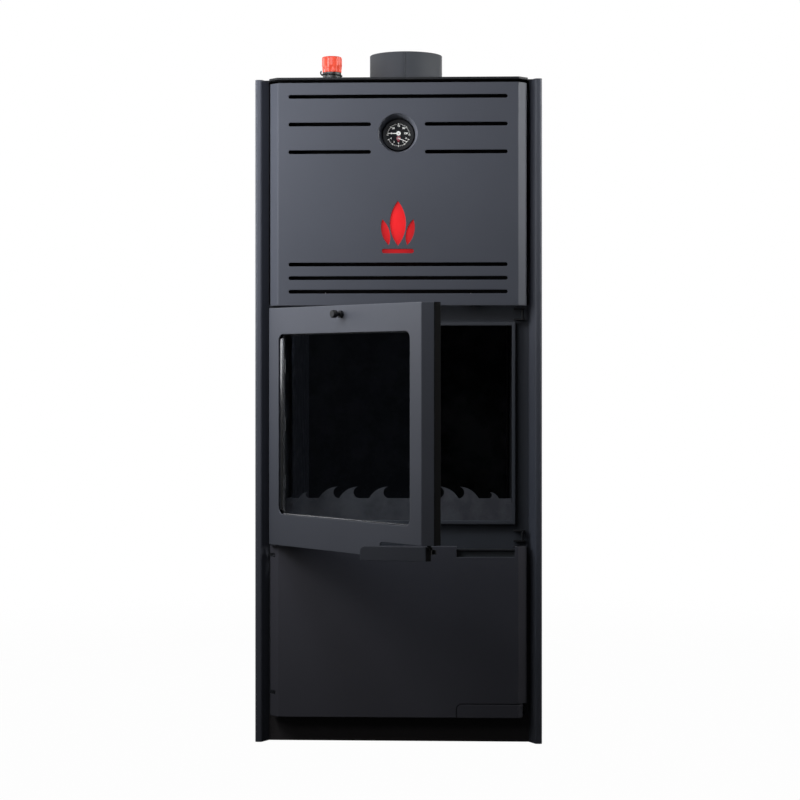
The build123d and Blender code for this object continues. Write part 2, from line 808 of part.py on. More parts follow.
def water_tube(y, z):
    """Water tube across the fire chamber."""
    outside = rod_x(y, z, tube_radius, -jacket_inner_x, jacket_inner_x)
    return outside - rod_x(y, z, tube_radius - tube_wall, -jacket_inner_x, jacket_inner_x)


def baffle_plate():
    """Plate on its ledges that sends the gas forward under the tubes."""
    half = opening_half_width - loose_fit
    top = baffle_z + baffle_thickness
    return box(-half, half, baffle_front_y, chamber_back_y - loose_fit, baffle_z, top)


def stay_bolts():
    """Stays across the side water spaces."""
    stays = []
    for side in (-1, 1):
        x0, x1 = sorted((side * jacket_inner_x, side * jacket_outer_x))
        stays += [rod_x(y, z, stay_radius, x0, x1) for y in stay_columns for z in stay_rows]
    return Compound(stays)


def flue_spigot():
    """Smoke outlet, welded into the crown and the boiler top."""
    tube = rod_z(0, flue_y, flue_radius, flue_base_top_z, flue_top_z)
    tube += rod_z(0, flue_y, flue_base_radius, crown_z, flue_base_top_z)
    return tube - rod_z(0, flue_y, flue_radius - flue_wall, crown_z, flue_top_z)


def pipe_sockets():
    """Flow and return sockets on the back."""
    sockets = []
    for x, z in ((flow_socket_x, flow_socket_z), (return_socket_x, return_socket_z)):
        outside = rod_y(x, z, socket_outer_radius, shell_outer_y, socket_end_y)
        socket = outside - rod_y(x, z, socket_passage_radius, shell_outer_y, socket_end_y)
        thread_y = socket_end_y - socket_thread_length
        sockets.append(socket - rod_y(x, z, socket_bore_radius, thread_y, socket_end_y))
    return Compound(sockets)


def air_duct():
    """Duct through the rear water space with the lugs and pin of the flap."""
    end_y = rear_y + duct_stand_out
    duct = box(-duct_half_width, duct_half_width, chamber_back_y, end_y, duct_bottom_z, duct_top_z)
    inside = duct_half_width - duct_wall
    duct -= box(-inside, inside, chamber_back_y, end_y, duct_bottom_z + duct_wall, duct_top_z - duct_wall)
    lug_front = rear_y + flap_gap
    lug_back = flap_axis_y + flap_knuckle_radius
    lug_top = flap_axis_z + flap_knuckle_radius + flap_pin_radius
    for side in (-1, 1):
        x0, x1 = sorted((side * flap_lug_inner_x, side * duct_half_width))
        duct += box(x0, x1, lug_front, lug_back, duct_top_z - duct_wall, lug_top)
    return duct + rod_x(flap_axis_y, flap_axis_z, flap_pin_radius, -flap_lug_inner_x, flap_lug_inner_x)


def air_flap():
    """Flap that hangs over the duct's mouth."""
    near = rear_y + duct_stand_out + flap_gap
    half = duct_half_width
    shoulder_z = duct_top_z - duct_wall - 3 * flap_gap
    plate = box(-half, half, near, near + flap_thickness, duct_bottom_z - flap_overhang, shoulder_z)
    tab = flap_lug_inner_x - rest_gap
    plate += box(-tab, tab, near, near + flap_thickness, shoulder_z - flap_overhang, flap_axis_z)
    plate += rod_x(flap_axis_y, flap_axis_z, flap_knuckle_radius, -tab, tab)
    return plate - rod_x(flap_axis_y, flap_axis_z, flap_pin_radius + hinge_bore_gap, -tab, tab)


def valve_riser():
    """Pipe from the boiler top to the safety valve."""
    bottom = boiler_top_z + jacket_plate
    pipe = rod_z(valve_x, valve_y, riser_radius, bottom, riser_top_z)
    return pipe - rod_z(valve_x, valve_y, riser_bore_radius, bottom, riser_top_z)


def valve_body():
    """Valve with its hexagon, neck, black collar and the stem that the cap turns on."""
    hexagon = RegularPolygon(valve_hex_across_flats / 2, 6, major_radius=False)
    body = Pos(valve_x, valve_y, riser_top_z) * extrude(hexagon, valve_hex_height)
    body += rod_z(valve_x, valve_y, valve_neck_radius, riser_top_z, valve_collar_bottom_z)
    collar_top = valve_cap_bottom_z - valve_cap_gap
    body += rod_z(valve_x, valve_y, valve_collar_radius, valve_collar_bottom_z, collar_top)
    stem_top = valve_cap_bottom_z + valve_cap_height - 2 * valve_cap_wall
    return body + rod_z(valve_x, valve_y, valve_stem_radius, collar_top, stem_top)


def valve_cap():
    """Fluted cap."""
    top = valve_cap_bottom_z + valve_cap_height
    cap = rod_z(valve_x, valve_y, valve_cap_radius, valve_cap_bottom_z, top)
    cap = fillet(cap.edges().group_by(Axis.Z)[-1], valve_cap_wall)
    flute_top = top - 2 * valve_cap_wall
    for index in range(cap_flute_count):
        angle = 2 * pi * index / cap_flute_count
        x = valve_x + (valve_cap_radius + cap_flute_radius / 2) * cos(angle)
        y = valve_y + (valve_cap_radius + cap_flute_radius / 2) * sin(angle)
        cap -= rod_z(x, y, cap_flute_radius, valve_cap_bottom_z, flute_top)
    bore_top = valve_cap_bottom_z + valve_cap_height - 2 * valve_cap_wall + valve_cap_gap
    return cap - rod_z(valve_x, valve_y, valve_stem_radius + hinge_bore_gap, valve_cap_bottom_z, bore_top)


# Gauge

def gauge_bezel():
    """Tapered sleeve between the upper panel and the gauge."""
    depth = plate_front_y - tray_back_y
    front_radius = gauge_window_radius + bezel_wall
    back_radius = gauge_rim_radius + 2 * bezel_wall
    outside = Cone(front_radius, back_radius, depth)
    inside = Cone(front_radius - bezel_wall, back_radius - bezel_wall, depth)
    return Pos(0, (tray_back_y + plate_front_y) / 2, gauge_z) * Rot(-90, 0, 0) * (outside - inside)


def gauge_case():
    """Case with its rim, and the sensor tube that runs down to its pocket."""
    back_y = plate_front_y + gauge_body_depth
    case = rod_y(0, gauge_z, gauge_rim_radius, gauge_front_y, plate_front_y)
    case += rod_y(0, gauge_z, gauge_body_radius, plate_front_y, back_y)
    case -= rod_y(0, gauge_z, dial_radius + gauge_running_gap, gauge_front_y, dial_y)
    drop_y = back_y + 4 * capillary_radius
    pocket_top = boiler_top_z + jacket_plate + 3 * capillary_radius
    start_z = gauge_z - gauge_body_radius / 3
    path = FilletPolyline((0, back_y, start_z), (0, drop_y, start_z), (0, drop_y, pocket_top),
                          radius=2 * capillary_radius)
    profile = Plane(origin=(0, back_y, start_z), z_dir=(0, 1, 0)) * Circle(capillary_radius)
    return case + sweep(profile, path=path)


def gauge_dial():
    """Dial with the two spindles."""
    face_y = dial_y - dial_thickness
    dial = rod_y(0, gauge_z, dial_radius, face_y, dial_y)
    tip_y = gauge_front_y + lens_thickness + 4 * gauge_running_gap
    for drop in (temperature_offset_z, pressure_offset_z):
        dial += rod_y(0, gauge_z + drop, spindle_radius, tip_y, face_y)
    return dial


def gauge_lens():
    """Clear window of the gauge."""
    return rod_y(0, gauge_z, dial_radius, gauge_front_y, gauge_front_y + lens_thickness)


def pointer(drop, near_y, hub_radius, length, clock_angle):
    """Pointer on its spindle; the angle turns it clockwise from straight up."""
    centre = gauge_z + drop
    root, tip = pointer_root_half_width, pointer_tip_half_width
    blade = Polygon((-root, 0), (root, 0), (tip, length), (-tip, length), align=None)
    hand = Rot(0, 0, -clock_angle) * (blade + Circle(hub_radius))
    hand = front_cut(hand, 0, centre, near_y, near_y + pointer_thickness)
    bore = spindle_radius + gauge_running_gap
    return hand - rod_y(0, centre, bore, near_y, near_y + pointer_thickness)


# Doors

def latch_keepers(z0, z1):
    """Two keepers of one door: ears on the front plate with a pin between them."""
    pin_x = shaft_x + keeper_pin_reach * cos(radians(keeper_pin_angle))
    pin_y = shaft_y + keeper_pin_reach * sin(radians(keeper_pin_angle))
    keepers = []
    for bottom in (z0 + keeper_end_inset, z1 - keeper_height):
        top = bottom + keeper_height
        keeper = rod_z(pin_x, pin_y, keeper_pin_radius, bottom, top)
        for low in (bottom, top - keeper_ear_thickness):
            keeper += box(keeper_inner_x, keeper_outer_x, keeper_front_y, plate_front_y, low,
                          low + keeper_ear_thickness)
        keepers.append(keeper)
    return keepers


def hinge_brackets():
    """Ears on the front plate that carry the hinge pins."""
    brackets = []
    for z in (*fire_hinge_levels, *ash_hinge_levels):
        ear = rod_z(hinge_x, hinge_y, hinge_ear_radius, z, z + hinge_ear_thickness)
        ear += box(hinge_x - hinge_ear_radius, hinge_x + hinge_ear_radius, hinge_y, plate_front_y,
                   z, z + hinge_ear_thickness)
        brackets.append(ear)
    return Compound(brackets)


def hinge_pins():
    """Upright pins that the doors drop on."""
    pins = []
    for z in (*fire_hinge_levels, *ash_hinge_levels):
        foot = z + hinge_ear_thickness
        pins.append(rod_z(hinge_x, hinge_y, hinge_pin_radius, foot, foot + hinge_pin_length))
    return Compound(pins)


def door_skin(z0, z1, hinge_levels):
    """Door front with the handle's cut-out and clearance notches for the hinge ears."""
    skin = tray(z0, z1, hinge_side_flange, tray_side_flange)
    cut_left = handle_left_x - handle_gap
    cut_top = z0 + handle_height + handle_gap
    reach = tray_outer_x + tray_sheet
    front, back = tray_front_y, tray_shoulder_y + tray_side_flange
    cut = box(cut_left, reach, front, back, z0, cut_top)
    corner = handle_corner_radius + handle_gap
    cut -= box(cut_left, cut_left + corner, front, back, cut_top - corner, cut_top)
    cut += rod_y(cut_left + corner, cut_top - corner, corner, front, back)
    skin -= cut
    edge = hinge_x - hinge_ear_radius - hinge_notch_margin
    for z in hinge_levels:
        skin -= box(-reach, hinge_x + hinge_ear_radius, hinge_y - 2 * hinge_ear_radius, back,
                    z - hinge_notch_margin, z + hinge_ear_thickness + hinge_gap)
        skin -= box(-reach, edge, tray_shoulder_y, back, z - hinge_notch_margin,
                    z + hinge_ear_thickness + hinge_gap)
    return skin


def door_frame(z0, z1, opening_z0, opening_z1, hinge_levels):
    """Inner pan of a door: back plate, rim, rope channel, hinge ears and shaft guides."""
    low = z0 + handle_height + handle_gap + frame_margin
    high = z1 - frame_margin
    half = frame_half_width
    pan = box(-half, half, tray_back_y, frame_back_y, low, high)
    pan -= box(-half + frame_sheet, half - frame_sheet, tray_back_y, frame_front_y,
               low + frame_sheet, high - frame_sheet)
    rib_back = frame_back_y + rope_channel_depth
    inner_z0 = opening_z0 - (channel_inner_x - opening_half_width)
    inner_z1 = opening_z1 + (channel_inner_x - opening_half_width)
    outer_z0 = opening_z0 - (channel_outer_x - opening_half_width)
    outer_z1 = opening_z1 + (channel_outer_x - opening_half_width)
    wall = rope_channel_wall
    pan += ring(channel_inner_x - wall, inner_z0 + wall, inner_z1 - wall, wall, frame_back_y, rib_back)
    pan += ring(channel_outer_x, outer_z0, outer_z1, wall, frame_back_y, rib_back)
    for z in hinge_levels:
        foot = z + hinge_ear_thickness + hinge_gap
        ear = rod_z(hinge_x, hinge_y, hinge_ear_radius, foot, foot + hinge_ear_thickness)
        ear += box(hinge_x, -half + frame_sheet / 2, hinge_y - hinge_ear_radius, rib_back,
                   foot, foot + hinge_ear_thickness)
        ear -= rod_z(hinge_x, hinge_y, hinge_pin_radius + hinge_bore_gap, foot, foot + hinge_ear_thickness)
        pan += ear
    for z in (z0 + guide_inset, z1 - guide_inset - guide_height):
        guide = rod_z(shaft_x, shaft_y, guide_radius, z, z + guide_height)
        guide += box(half - frame_sheet / 2, shaft_x, shaft_y - guide_radius / 2, shaft_y + guide_radius / 2,
                     z, z + guide_height)
        pan += guide - rod_z(shaft_x, shaft_y, shaft_radius + shaft_bore_gap, z, z + guide_height)
    return pan


def rope_seal(opening_z0, opening_z1):
    """Rope in the channel, pressed flat by the lip when the door is shut."""
    front, back = frame_back_y, plate_front_y - lip_depth - seal_gap
    grow = rope_centre_x - opening_half_width
    half = rope_width / 2
    low, high = opening_z0 - grow + half, opening_z1 + grow - half
    return ring(rope_centre_x - half, low, high, rope_width, front, back)


def fire_door_skin():
    """Fire door front with its window and the hole for the valve rod."""
    skin = door_skin(fire_door_bottom_z, fire_door_top_z, fire_hinge_levels)
    window = RectangleRounded(2 * window_half_width, window_top_z - window_bottom_z, window_radius)
    skin -= front_cut(window, 0, (window_top_z + window_bottom_z) / 2, tray_front_y, tray_back_y)
    return skin - rod_y(0, knob_z, knob_neck_radius + valve_rod_gap, tray_front_y, tray_back_y)


def fire_door_frame():
    """Fire door pan with the window opening and its jamb."""
    pan = door_frame(fire_door_bottom_z, fire_door_top_z, fire_opening_bottom_z, fire_opening_top_z,
                     fire_hinge_levels)
    centre_z = (window_top_z + window_bottom_z) / 2
    wide = 2 * (window_half_width - jamb_inset)
    tall = window_top_z - window_bottom_z - 2 * jamb_inset
    hole_radius = window_radius - jamb_inset
    outer = RectangleRounded(wide + 2 * frame_sheet, tall + 2 * frame_sheet, hole_radius + frame_sheet)
    hole = RectangleRounded(wide, tall, hole_radius)
    pan += front_cut(outer, 0, centre_z, frame_front_y - jamb_depth + frame_sheet, frame_front_y)
    pan -= front_cut(hole, 0, centre_z, tray_front_y, frame_back_y)
    return pan - rod_y(0, knob_z, valve_port_radius, frame_front_y, frame_back_y)


def fire_door_glass():
    """Ceramic glass pane behind the window."""
    near = frame_back_y + glass_seat_gap
    half = window_half_width + glass_overlap
    low, high = window_bottom_z - glass_overlap, window_top_z + glass_overlap
    return box(-half, half, near, near + glass_thickness, low, high)


def glass_clips():
    """Cranked clips that hold the glass on the frame."""
    glass_back = frame_back_y + glass_seat_gap + glass_thickness
    rib_x = channel_inner_x - rope_channel_wall
    pane_x = window_half_width + glass_overlap
    clips = []
    for z in clip_levels:
        for side in (-1, 1):
            x0, x1 = sorted((side * (rib_x - clip_reach), side * (rib_x - seal_gap)))
            clip = box(x0, x1, glass_back + seal_gap, glass_back + seal_gap + clip_thickness,
                       z - clip_width / 2, z + clip_width / 2)
            f0, f1 = sorted((side * (pane_x + seal_gap), side * (rib_x - seal_gap)))
            clip += box(f0, f1, frame_back_y, glass_back + seal_gap, z - clip_width / 2, z + clip_width / 2)
            clips.append(clip)
    return Compound(clips)


def air_knob():
    """Turned pull knob with the rod and disc of the secondary air valve."""
    face = tray_front_y - knob_stand_off
    tip = tray_front_y - knob_length
    disc_y = tray_back_y + valve_disc_gap + knob_travel
    knob = rod_y(0, knob_z, knob_neck_radius, tip, disc_y)
    knob += rod_y(0, knob_z, knob_base_radius, face - knob_base_length, face)
    head = rod_y(0, knob_z, knob_radius, tip, tip + knob_head_length)
    knob += fillet(head.edges(), knob_radius / 4)
    return knob + rod_y(0, knob_z, valve_disc_radius, disc_y, disc_y + valve_disc_thickness)


def ash_door_skin():
    """Ash door front with the finger notch under the fire door's handle."""
    skin = door_skin(ash_door_bottom_z, ash_door_top_z, ash_hinge_levels)
    notch_bottom = ash_door_top_z - finger_notch_depth
    skin -= box(finger_notch_left_x, finger_notch_right_x, tray_front_y, tray_back_y + tray_end_flange,
                notch_bottom, ash_door_top_z)
    return skin + box(finger_notch_left_x, finger_notch_right_x, tray_front_y, tray_back_y + tray_sheet,
                      notch_bottom - tray_sheet, notch_bottom)


def latch_shaft(z0, z1):
    """Upright latch shaft with a hook near each end, drawn with the handle shut."""
    hook_levels = (z0 + hook_inset, z1 - keeper_height / 2 - hook_height / 2)
    shaft_top = hook_levels[1] + hook_height + shaft_end
    shaft = rod_z(shaft_x, shaft_y, shaft_radius, hook_levels[0] - shaft_end, shaft_top)
    reach = 2 * hook_outer_radius
    steps = 6
    span = hook_heel_angle - hook_tip_angle
    for z in hook_levels:
        hook = rod_z(shaft_x, shaft_y, hook_outer_radius, z, z + hook_height)
        hook -= rod_z(shaft_x, shaft_y, hook_inner_radius, z, z + hook_height)
        wedge = [(shaft_x, shaft_y)]
        for step in range(steps + 1):
            angle = radians(hook_tip_angle + span * step / steps)
            wedge.append((shaft_x + reach * cos(angle), shaft_y + reach * sin(angle)))
        hook &= prism(wedge, z, z + hook_height)
        heel, toe = radians(hook_heel_angle), radians(hook_arm_angle)
        middle = (hook_inner_radius + hook_outer_radius) / 2
        arm = prism([
            (shaft_x + middle * cos(heel), shaft_y + middle * sin(heel)),
            (shaft_x + hook_hub_radius / 2 * cos(heel), shaft_y + hook_hub_radius / 2 * sin(heel)),
            (shaft_x + hook_hub_radius / 2 * cos(toe), shaft_y + hook_hub_radius / 2 * sin(toe)),
            (shaft_x + middle * cos(toe), shaft_y + middle * sin(toe)),
        ], z, z + hook_height)
        shaft += hook + arm + rod_z(shaft_x, shaft_y, hook_hub_radius, z, z + hook_height)
    return shaft


def door_handle(z0):
    """Handle that fills the skin's corner, drawn shut, with its hub on the shaft."""
    top = z0 + handle_height
    end_x = tray_bend_x + handle_bend_run
    points = [
        (handle_left_x, tray_front_y),
        (tray_bend_x, tray_front_y),
        (end_x, tray_front_y + handle_bend_run),
    ]
    tab = folded_sheet(points, tray_sheet, tray_bend_radius, z0, top)
    corner = handle_corner_radius
    cut = box(handle_left_x, handle_left_x + corner, tray_front_y, tray_back_y, top - corner, top)
    tab -= cut - rod_y(handle_left_x + corner, top - corner, corner, tray_front_y, tray_back_y)
    hub_top = top - handle_hub_drop
    hub_low = hub_top - handle_hub_height
    hub = rod_z(shaft_x, shaft_y, handle_hub_radius, hub_low, hub_top)
    hub += box(shaft_x - handle_hub_half_width, tray_bend_x, tray_back_y, shaft_y, hub_low, hub_top)
    hub += box(shaft_x - handle_hub_half_width, shaft_x + handle_hub_half_width / 2,
               tray_back_y + tray_sheet, shaft_y, hub_low, hub_top)
    return tab + (hub - rod_z(shaft_x, shaft_y, shaft_radius + shaft_bore_gap / 2, hub_low, hub_top))


# Hearth and ash pan

def hearth_plate():
    """Fire chamber floor with the grate's hole."""
    half = opening_half_width - loose_fit
    plate = box(-half, half, plate_back_y + loose_fit, chamber_back_y - loose_fit, hearth_z, hearth_top_z)
    hole_x = grate_length / 2 + loose_fit
    hole_y = grate_depth / 2 + loose_fit
    return plate - box(-hole_x, hole_x, grate_y - hole_y, grate_y + hole_y, hearth_z, hearth_top_z)


def grate():
    """Slotted cast grate that lies in the hearth's hole by its rim."""
    half_x, half_y = grate_length / 2, grate_depth / 2
    seat = hearth_top_z + rest_gap
    top = seat + grate_rim_thickness
    casting = box(-half_x, half_x, grate_y - half_y, grate_y + half_y, seat - grate_body_drop, top)
    casting += box(-half_x - grate_rim, half_x + grate_rim, grate_y - half_y - grate_rim,
                   grate_y + half_y + grate_rim, seat, top)
    count = int((grate_length - 2 * grate_rim) // grate_slot_pitch)
    slot_length = grate_depth - 2 * grate_rim
    slot = Rot(0, 0, 90) * SlotOverall(slot_length, grate_slot_width)
    for index in range(count):
        x = (index - (count - 1) / 2) * grate_slot_pitch
        casting -= Pos(x, grate_y, seat - grate_body_drop) * extrude(slot, top - seat + grate_body_drop)
    return casting


def wave(length, height):
    """Wave crest that leans to +X, its foot at the origin and its tip at full length."""
    back = ThreePointArc((0, 0), (0.36 * length, 0.66 * height), (length, height))
    hollow = ThreePointArc((length, height), (0.77 * length, 0.5 * height), (1.03 * length, 0))
    root = Polyline((1.03 * length, 0), (1.03 * length, -wave_root), (0, -wave_root), (0, 0))
    return make_face(back + hollow + root)


def log_guard():
    """Plate across the hearth's front with wave crests along its top."""
    half = opening_half_width - guard_side_gap
    low = hearth_top_z + rest_gap
    near = guard_y - guard_thickness / 2
    far = guard_y + guard_thickness / 2
    guard = box(-half, half, near, far, low, guard_flat_z)
    crests = [(tip, wave_length, wave_height) for tip in wave_tips]
    crests.append((small_wave_tip, small_wave_length, small_wave_height))
    for tip, length, height in crests:
        left = front_cut(wave(length, height), -tip - length, guard_flat_z, near, far)
        guard += left
        guard += left.mirror(Plane.YZ)
    return guard


def guard_posts():
    """Posts on the chamber sides that the log guard drops between."""
    posts = []
    slot = guard_thickness / 2 + guard_slot_gap
    for side in (-1, 1):
        x0, x1 = sorted((side * (opening_half_width - guard_post_width), side * opening_half_width))
        for near in (guard_y - slot - guard_post_depth, guard_y + slot):
            far = near + guard_post_depth
            posts.append(box(x0, x1, near, far, hearth_top_z, hearth_top_z + guard_post_height))
    return Compound(posts)


def pan_runners():
    """Two channels on the floor that the ash pan slides on."""
    runners = []
    top = pan_floor_z - rest_gap
    for side in (-1, 1):
        x0, x1 = sorted((side * runner_half_spacing, side * (runner_half_spacing + runner_width)))
        rail = box(x0, x1, plate_back_y + loose_fit, pan_back_y, floor_z, top)
        rail -= box(x0 + runner_sheet, x1 - runner_sheet, plate_back_y + loose_fit, pan_back_y,
                    floor_z, top - runner_sheet)
        runners.append(rail)
    return Compound(runners)


def ash_pan():
    """Open pan with a bar grip."""
    top = pan_floor_z + pan_height
    pan = box(-pan_half_width, pan_half_width, pan_front_y, pan_back_y, pan_floor_z, top)
    pan -= box(-pan_half_width + pan_sheet, pan_half_width - pan_sheet, pan_front_y + pan_sheet,
               pan_back_y - pan_sheet, pan_floor_z + pan_sheet, top)
    grip_z = (pan_floor_z + top) / 2
    grip_y = pan_front_y - pan_grip_reach + pan_grip_radius
    for side in (-1, 1):
        grip_x = side * pan_grip_half_width
        pan += rod_y(grip_x, grip_z, pan_grip_radius, grip_y, pan_front_y + pan_sheet / 2)
        pan += Pos(grip_x, grip_y, grip_z) * Sphere(pan_grip_radius)
    return pan + rod_x(grip_y, grip_z, pan_grip_radius, -pan_grip_half_width, pan_grip_half_width)


save("left_side_panel", side_panel(-1))
save("right_side_panel", side_panel(1))
save("back_cover", back_cover())
save("top_cover", top_cover())
save("upper_front_panel", upper_front_panel())
save("ornament_backing_plate", ornament_backing_plate())
save("casing_screws", casing_screws())
save("plinth", plinth())
save("base_plate", base_plate())
save("front_plate", front_plate())
save("fire_opening_lip", opening_lip(fire_opening_bottom_z, fire_opening_top_z))
save("ash_opening_lip", opening_lip(ash_opening_bottom_z, ash_opening_top_z))
save("outer_wall_left", outer_side_wall(-1))
save("outer_wall_right", outer_side_wall(1))
save("outer_wall_rear", outer_rear_wall())
save("inner_wall_left", inner_side_wall(-1))
save("inner_wall_right", inner_side_wall(1))
save("inner_wall_rear", inner_rear_wall())
save("crown_plate", crown_plate())
save("boiler_top_plate", boiler_top_plate())
for number, place in enumerate(tube_places, start=1):
    save(f"water_tube_{number}", water_tube(*place))
save("baffle_plate", baffle_plate())
save("stay_bolts", stay_bolts())
save("flue_spigot", flue_spigot())
save("pipe_sockets", pipe_sockets())
save("air_duct", air_duct())
save("air_flap", air_flap())
save("valve_riser", valve_riser())
save("valve_body", valve_body())
save("valve_cap", valve_cap())
save("gauge_bezel", gauge_bezel())
save("gauge_case", gauge_case())
save("gauge_dial", gauge_dial())
save("gauge_lens", gauge_lens())
pressure_pointer_y = dial_y - dial_thickness - 2 * gauge_running_gap - pointer_thickness
temperature_pointer_y = pressure_pointer_y - 2 * gauge_running_gap - pointer_thickness
save("temperature_pointer", pointer(temperature_offset_z, temperature_pointer_y, temperature_hub_radius,
                                    temperature_needle, temperature_rest_angle))
save("pressure_pointer", pointer(pressure_offset_z, pressure_pointer_y, pressure_hub_radius,
                                 pressure_needle, pressure_rest_angle))
save("latch_keepers", Compound(latch_keepers(fire_door_bottom_z, fire_door_top_z)
                               + latch_keepers(ash_door_bottom_z, ash_door_top_z)))
save("hinge_brackets", hinge_brackets())
save("hinge_pins", hinge_pins())
save("fire_door_skin", swing_to_rest(fire_door_skin()))
save("fire_door_frame", swing_to_rest(fire_door_frame()))
save("fire_door_glass", swing_to_rest(fire_door_glass()))
save("glass_clips", swing_to_rest(glass_clips()))
save("fire_door_seal", swing_to_rest(rope_seal(fire_opening_bottom_z, fire_opening_top_z)))
save("air_knob", swing_to_rest(air_knob()))
save("fire_latch_shaft", swing_to_rest(swing_handle(latch_shaft(fire_door_bottom_z, fire_door_top_z))))
save("fire_door_handle", swing_to_rest(swing_handle(door_handle(fire_door_bottom_z))))
save("ash_door_skin", ash_door_skin())
save("ash_door_frame", door_frame(ash_door_bottom_z, ash_door_top_z, ash_opening_bottom_z,
                                  ash_opening_top_z, ash_hinge_levels))
save("ash_door_seal", rope_seal(ash_opening_bottom_z, ash_opening_top_z))
save("ash_latch_shaft", latch_shaft(ash_door_bottom_z, ash_door_top_z))
save("ash_door_handle", door_handle(ash_door_bottom_z))
save("hearth_plate", hearth_plate())
save("grate", grate())
save("log_guard", log_guard())
save("guard_posts", guard_posts())
save("pan_runners", pan_runners())
save("ash_pan", ash_pan())
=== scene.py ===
"""Free-standing boiler stove: finishes, fine pieces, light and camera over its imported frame."""

from __future__ import annotations

import json
import logging
import math
from dataclasses import dataclass
from enum import Enum
from functools import partial
from typing import Any, Callable, Iterable, Sequence, Union

import bmesh
import bpy
from bmesh.types import BMesh, BMVert
from bpy.types import Material, Mesh, Node, NodeSocket, NodeTree, Object
from mathutils import Matrix, Vector

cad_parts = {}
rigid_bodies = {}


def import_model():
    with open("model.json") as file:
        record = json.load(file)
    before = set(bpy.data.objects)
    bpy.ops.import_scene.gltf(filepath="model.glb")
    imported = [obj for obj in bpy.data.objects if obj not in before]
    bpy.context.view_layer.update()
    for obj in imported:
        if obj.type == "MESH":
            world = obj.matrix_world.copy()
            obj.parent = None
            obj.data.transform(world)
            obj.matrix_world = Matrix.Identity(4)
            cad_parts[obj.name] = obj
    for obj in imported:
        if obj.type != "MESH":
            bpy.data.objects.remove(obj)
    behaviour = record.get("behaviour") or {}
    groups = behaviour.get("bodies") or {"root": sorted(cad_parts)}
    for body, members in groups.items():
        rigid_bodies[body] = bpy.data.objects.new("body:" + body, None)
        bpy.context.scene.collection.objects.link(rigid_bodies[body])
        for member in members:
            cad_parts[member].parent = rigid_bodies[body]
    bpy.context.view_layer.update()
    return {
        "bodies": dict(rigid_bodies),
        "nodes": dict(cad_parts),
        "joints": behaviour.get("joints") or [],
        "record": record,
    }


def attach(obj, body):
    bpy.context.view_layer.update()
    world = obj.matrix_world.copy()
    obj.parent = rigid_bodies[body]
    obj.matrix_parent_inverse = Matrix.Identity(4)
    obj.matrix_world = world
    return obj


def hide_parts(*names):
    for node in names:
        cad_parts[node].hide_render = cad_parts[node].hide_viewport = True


LOG = logging.getLogger("boiler_stove")
MM = 0.001

Flat = tuple[float, float]
Point = tuple[float, float, float]
Colour = tuple[float, float, float, float]
Add = Callable[..., Node]
Source = Union[Node, NodeSocket]

WHITE: Colour = (1.0, 1.0, 1.0, 1.0)

# The node kinds that come again and again
BUMP = "ShaderNodeBump"
COMBINE = "ShaderNodeCombineXYZ"
MATH = "ShaderNodeMath"
MIX = "ShaderNodeMix"
NOISE = "ShaderNodeTexNoise"
PRINCIPLED = "ShaderNodeBsdfPrincipled"
RANGE = "ShaderNodeMapRange"
VECTOR = "ShaderNodeVectorMath"


# Small tools shared by the sub-assemblies


def linear(hex_colour: str) -> Colour:
    """Turns an sRGB hex colour to a linear one.

    Args:
        hex_colour: Six hex digits after a hash.

    Returns:
        Linear red, green and blue with an alpha of 1.
    """
    digits = hex_colour.lstrip("#")
    channels = []
    for start in (0, 2, 4):
        value = int(digits[start : start + 2], 16) / 255
        channels.append(value / 12.92 if value <= 0.04045 else ((value + 0.055) / 1.055) ** 2.4)
    return (channels[0], channels[1], channels[2], 1.0)


def add_node(tree: NodeTree, kind: str, inputs: dict[Any, Any] | None = None, **settings: Any) -> Node:
    """Adds one node with its settings and inputs.

    Args:
        tree: The node tree.
        kind: The node's type name.
        inputs: By input name or index: a value, a source socket, or a node, for its first output in use.
        **settings: The node's own properties.

    Returns:
        The new node.
    """
    node = tree.nodes.new(kind)
    for name, value in settings.items():
        setattr(node, name, value)
    for key, given in (inputs or {}).items():
        if isinstance(given, Node):
            given = next(socket for socket in given.outputs if socket.enabled)
        if isinstance(given, NodeSocket):
            tree.links.new(given, node.inputs[key])
        else:
            node.inputs[key].default_value = given
    return node


def per_mm(millimetres: float) -> float:
    """Gives the texture scale whose features are this many millimetres across."""
    return 1.0 / (millimetres * MM)


def on_circle(radius: float, angle: float, x: float = 0.0, y: float = 0.0) -> Flat:
    """Gives the point at a radius and an angle round a centre."""
    return x + radius * math.cos(angle), y + radius * math.sin(angle)


def round_turns(steps: int) -> list[float]:
    """Gives the angles of even steps round a full turn."""
    return [2 * math.pi * i / steps for i in range(steps)]


def linked(name: str, data: bpy.types.ID) -> Object:
    """Links a mesh, curve, lamp or camera to the scene as an object at the origin."""
    made = bpy.data.objects.new(name, data)
    bpy.context.scene.collection.objects.link(made)
    return made


def mesh_from(work: BMesh, name: str) -> Mesh:
    """Turns a work mesh to a named mesh and frees it."""
    mesh = bpy.data.meshes.new(name)
    work.to_mesh(mesh)
    work.free()
    return mesh


def recalculated(mesh: Mesh) -> Mesh:
    """Merges a mesh's doubles and turns its faces outwards."""
    work = bmesh.new()
    work.from_mesh(mesh)
    bmesh.ops.remove_doubles(work, verts=work.verts, dist=1e-6)
    bmesh.ops.recalc_face_normals(work, faces=work.faces)
    work.to_mesh(mesh)
    work.free()
    return mesh


def shade_smooth(mesh: Mesh, angle: float = 35.0) -> None:
    """Shades a mesh smooth, with edges sharper than the angle in degrees kept sharp."""
    mesh.shade_smooth()
    mesh.set_sharp_from_angle(angle=math.radians(angle))


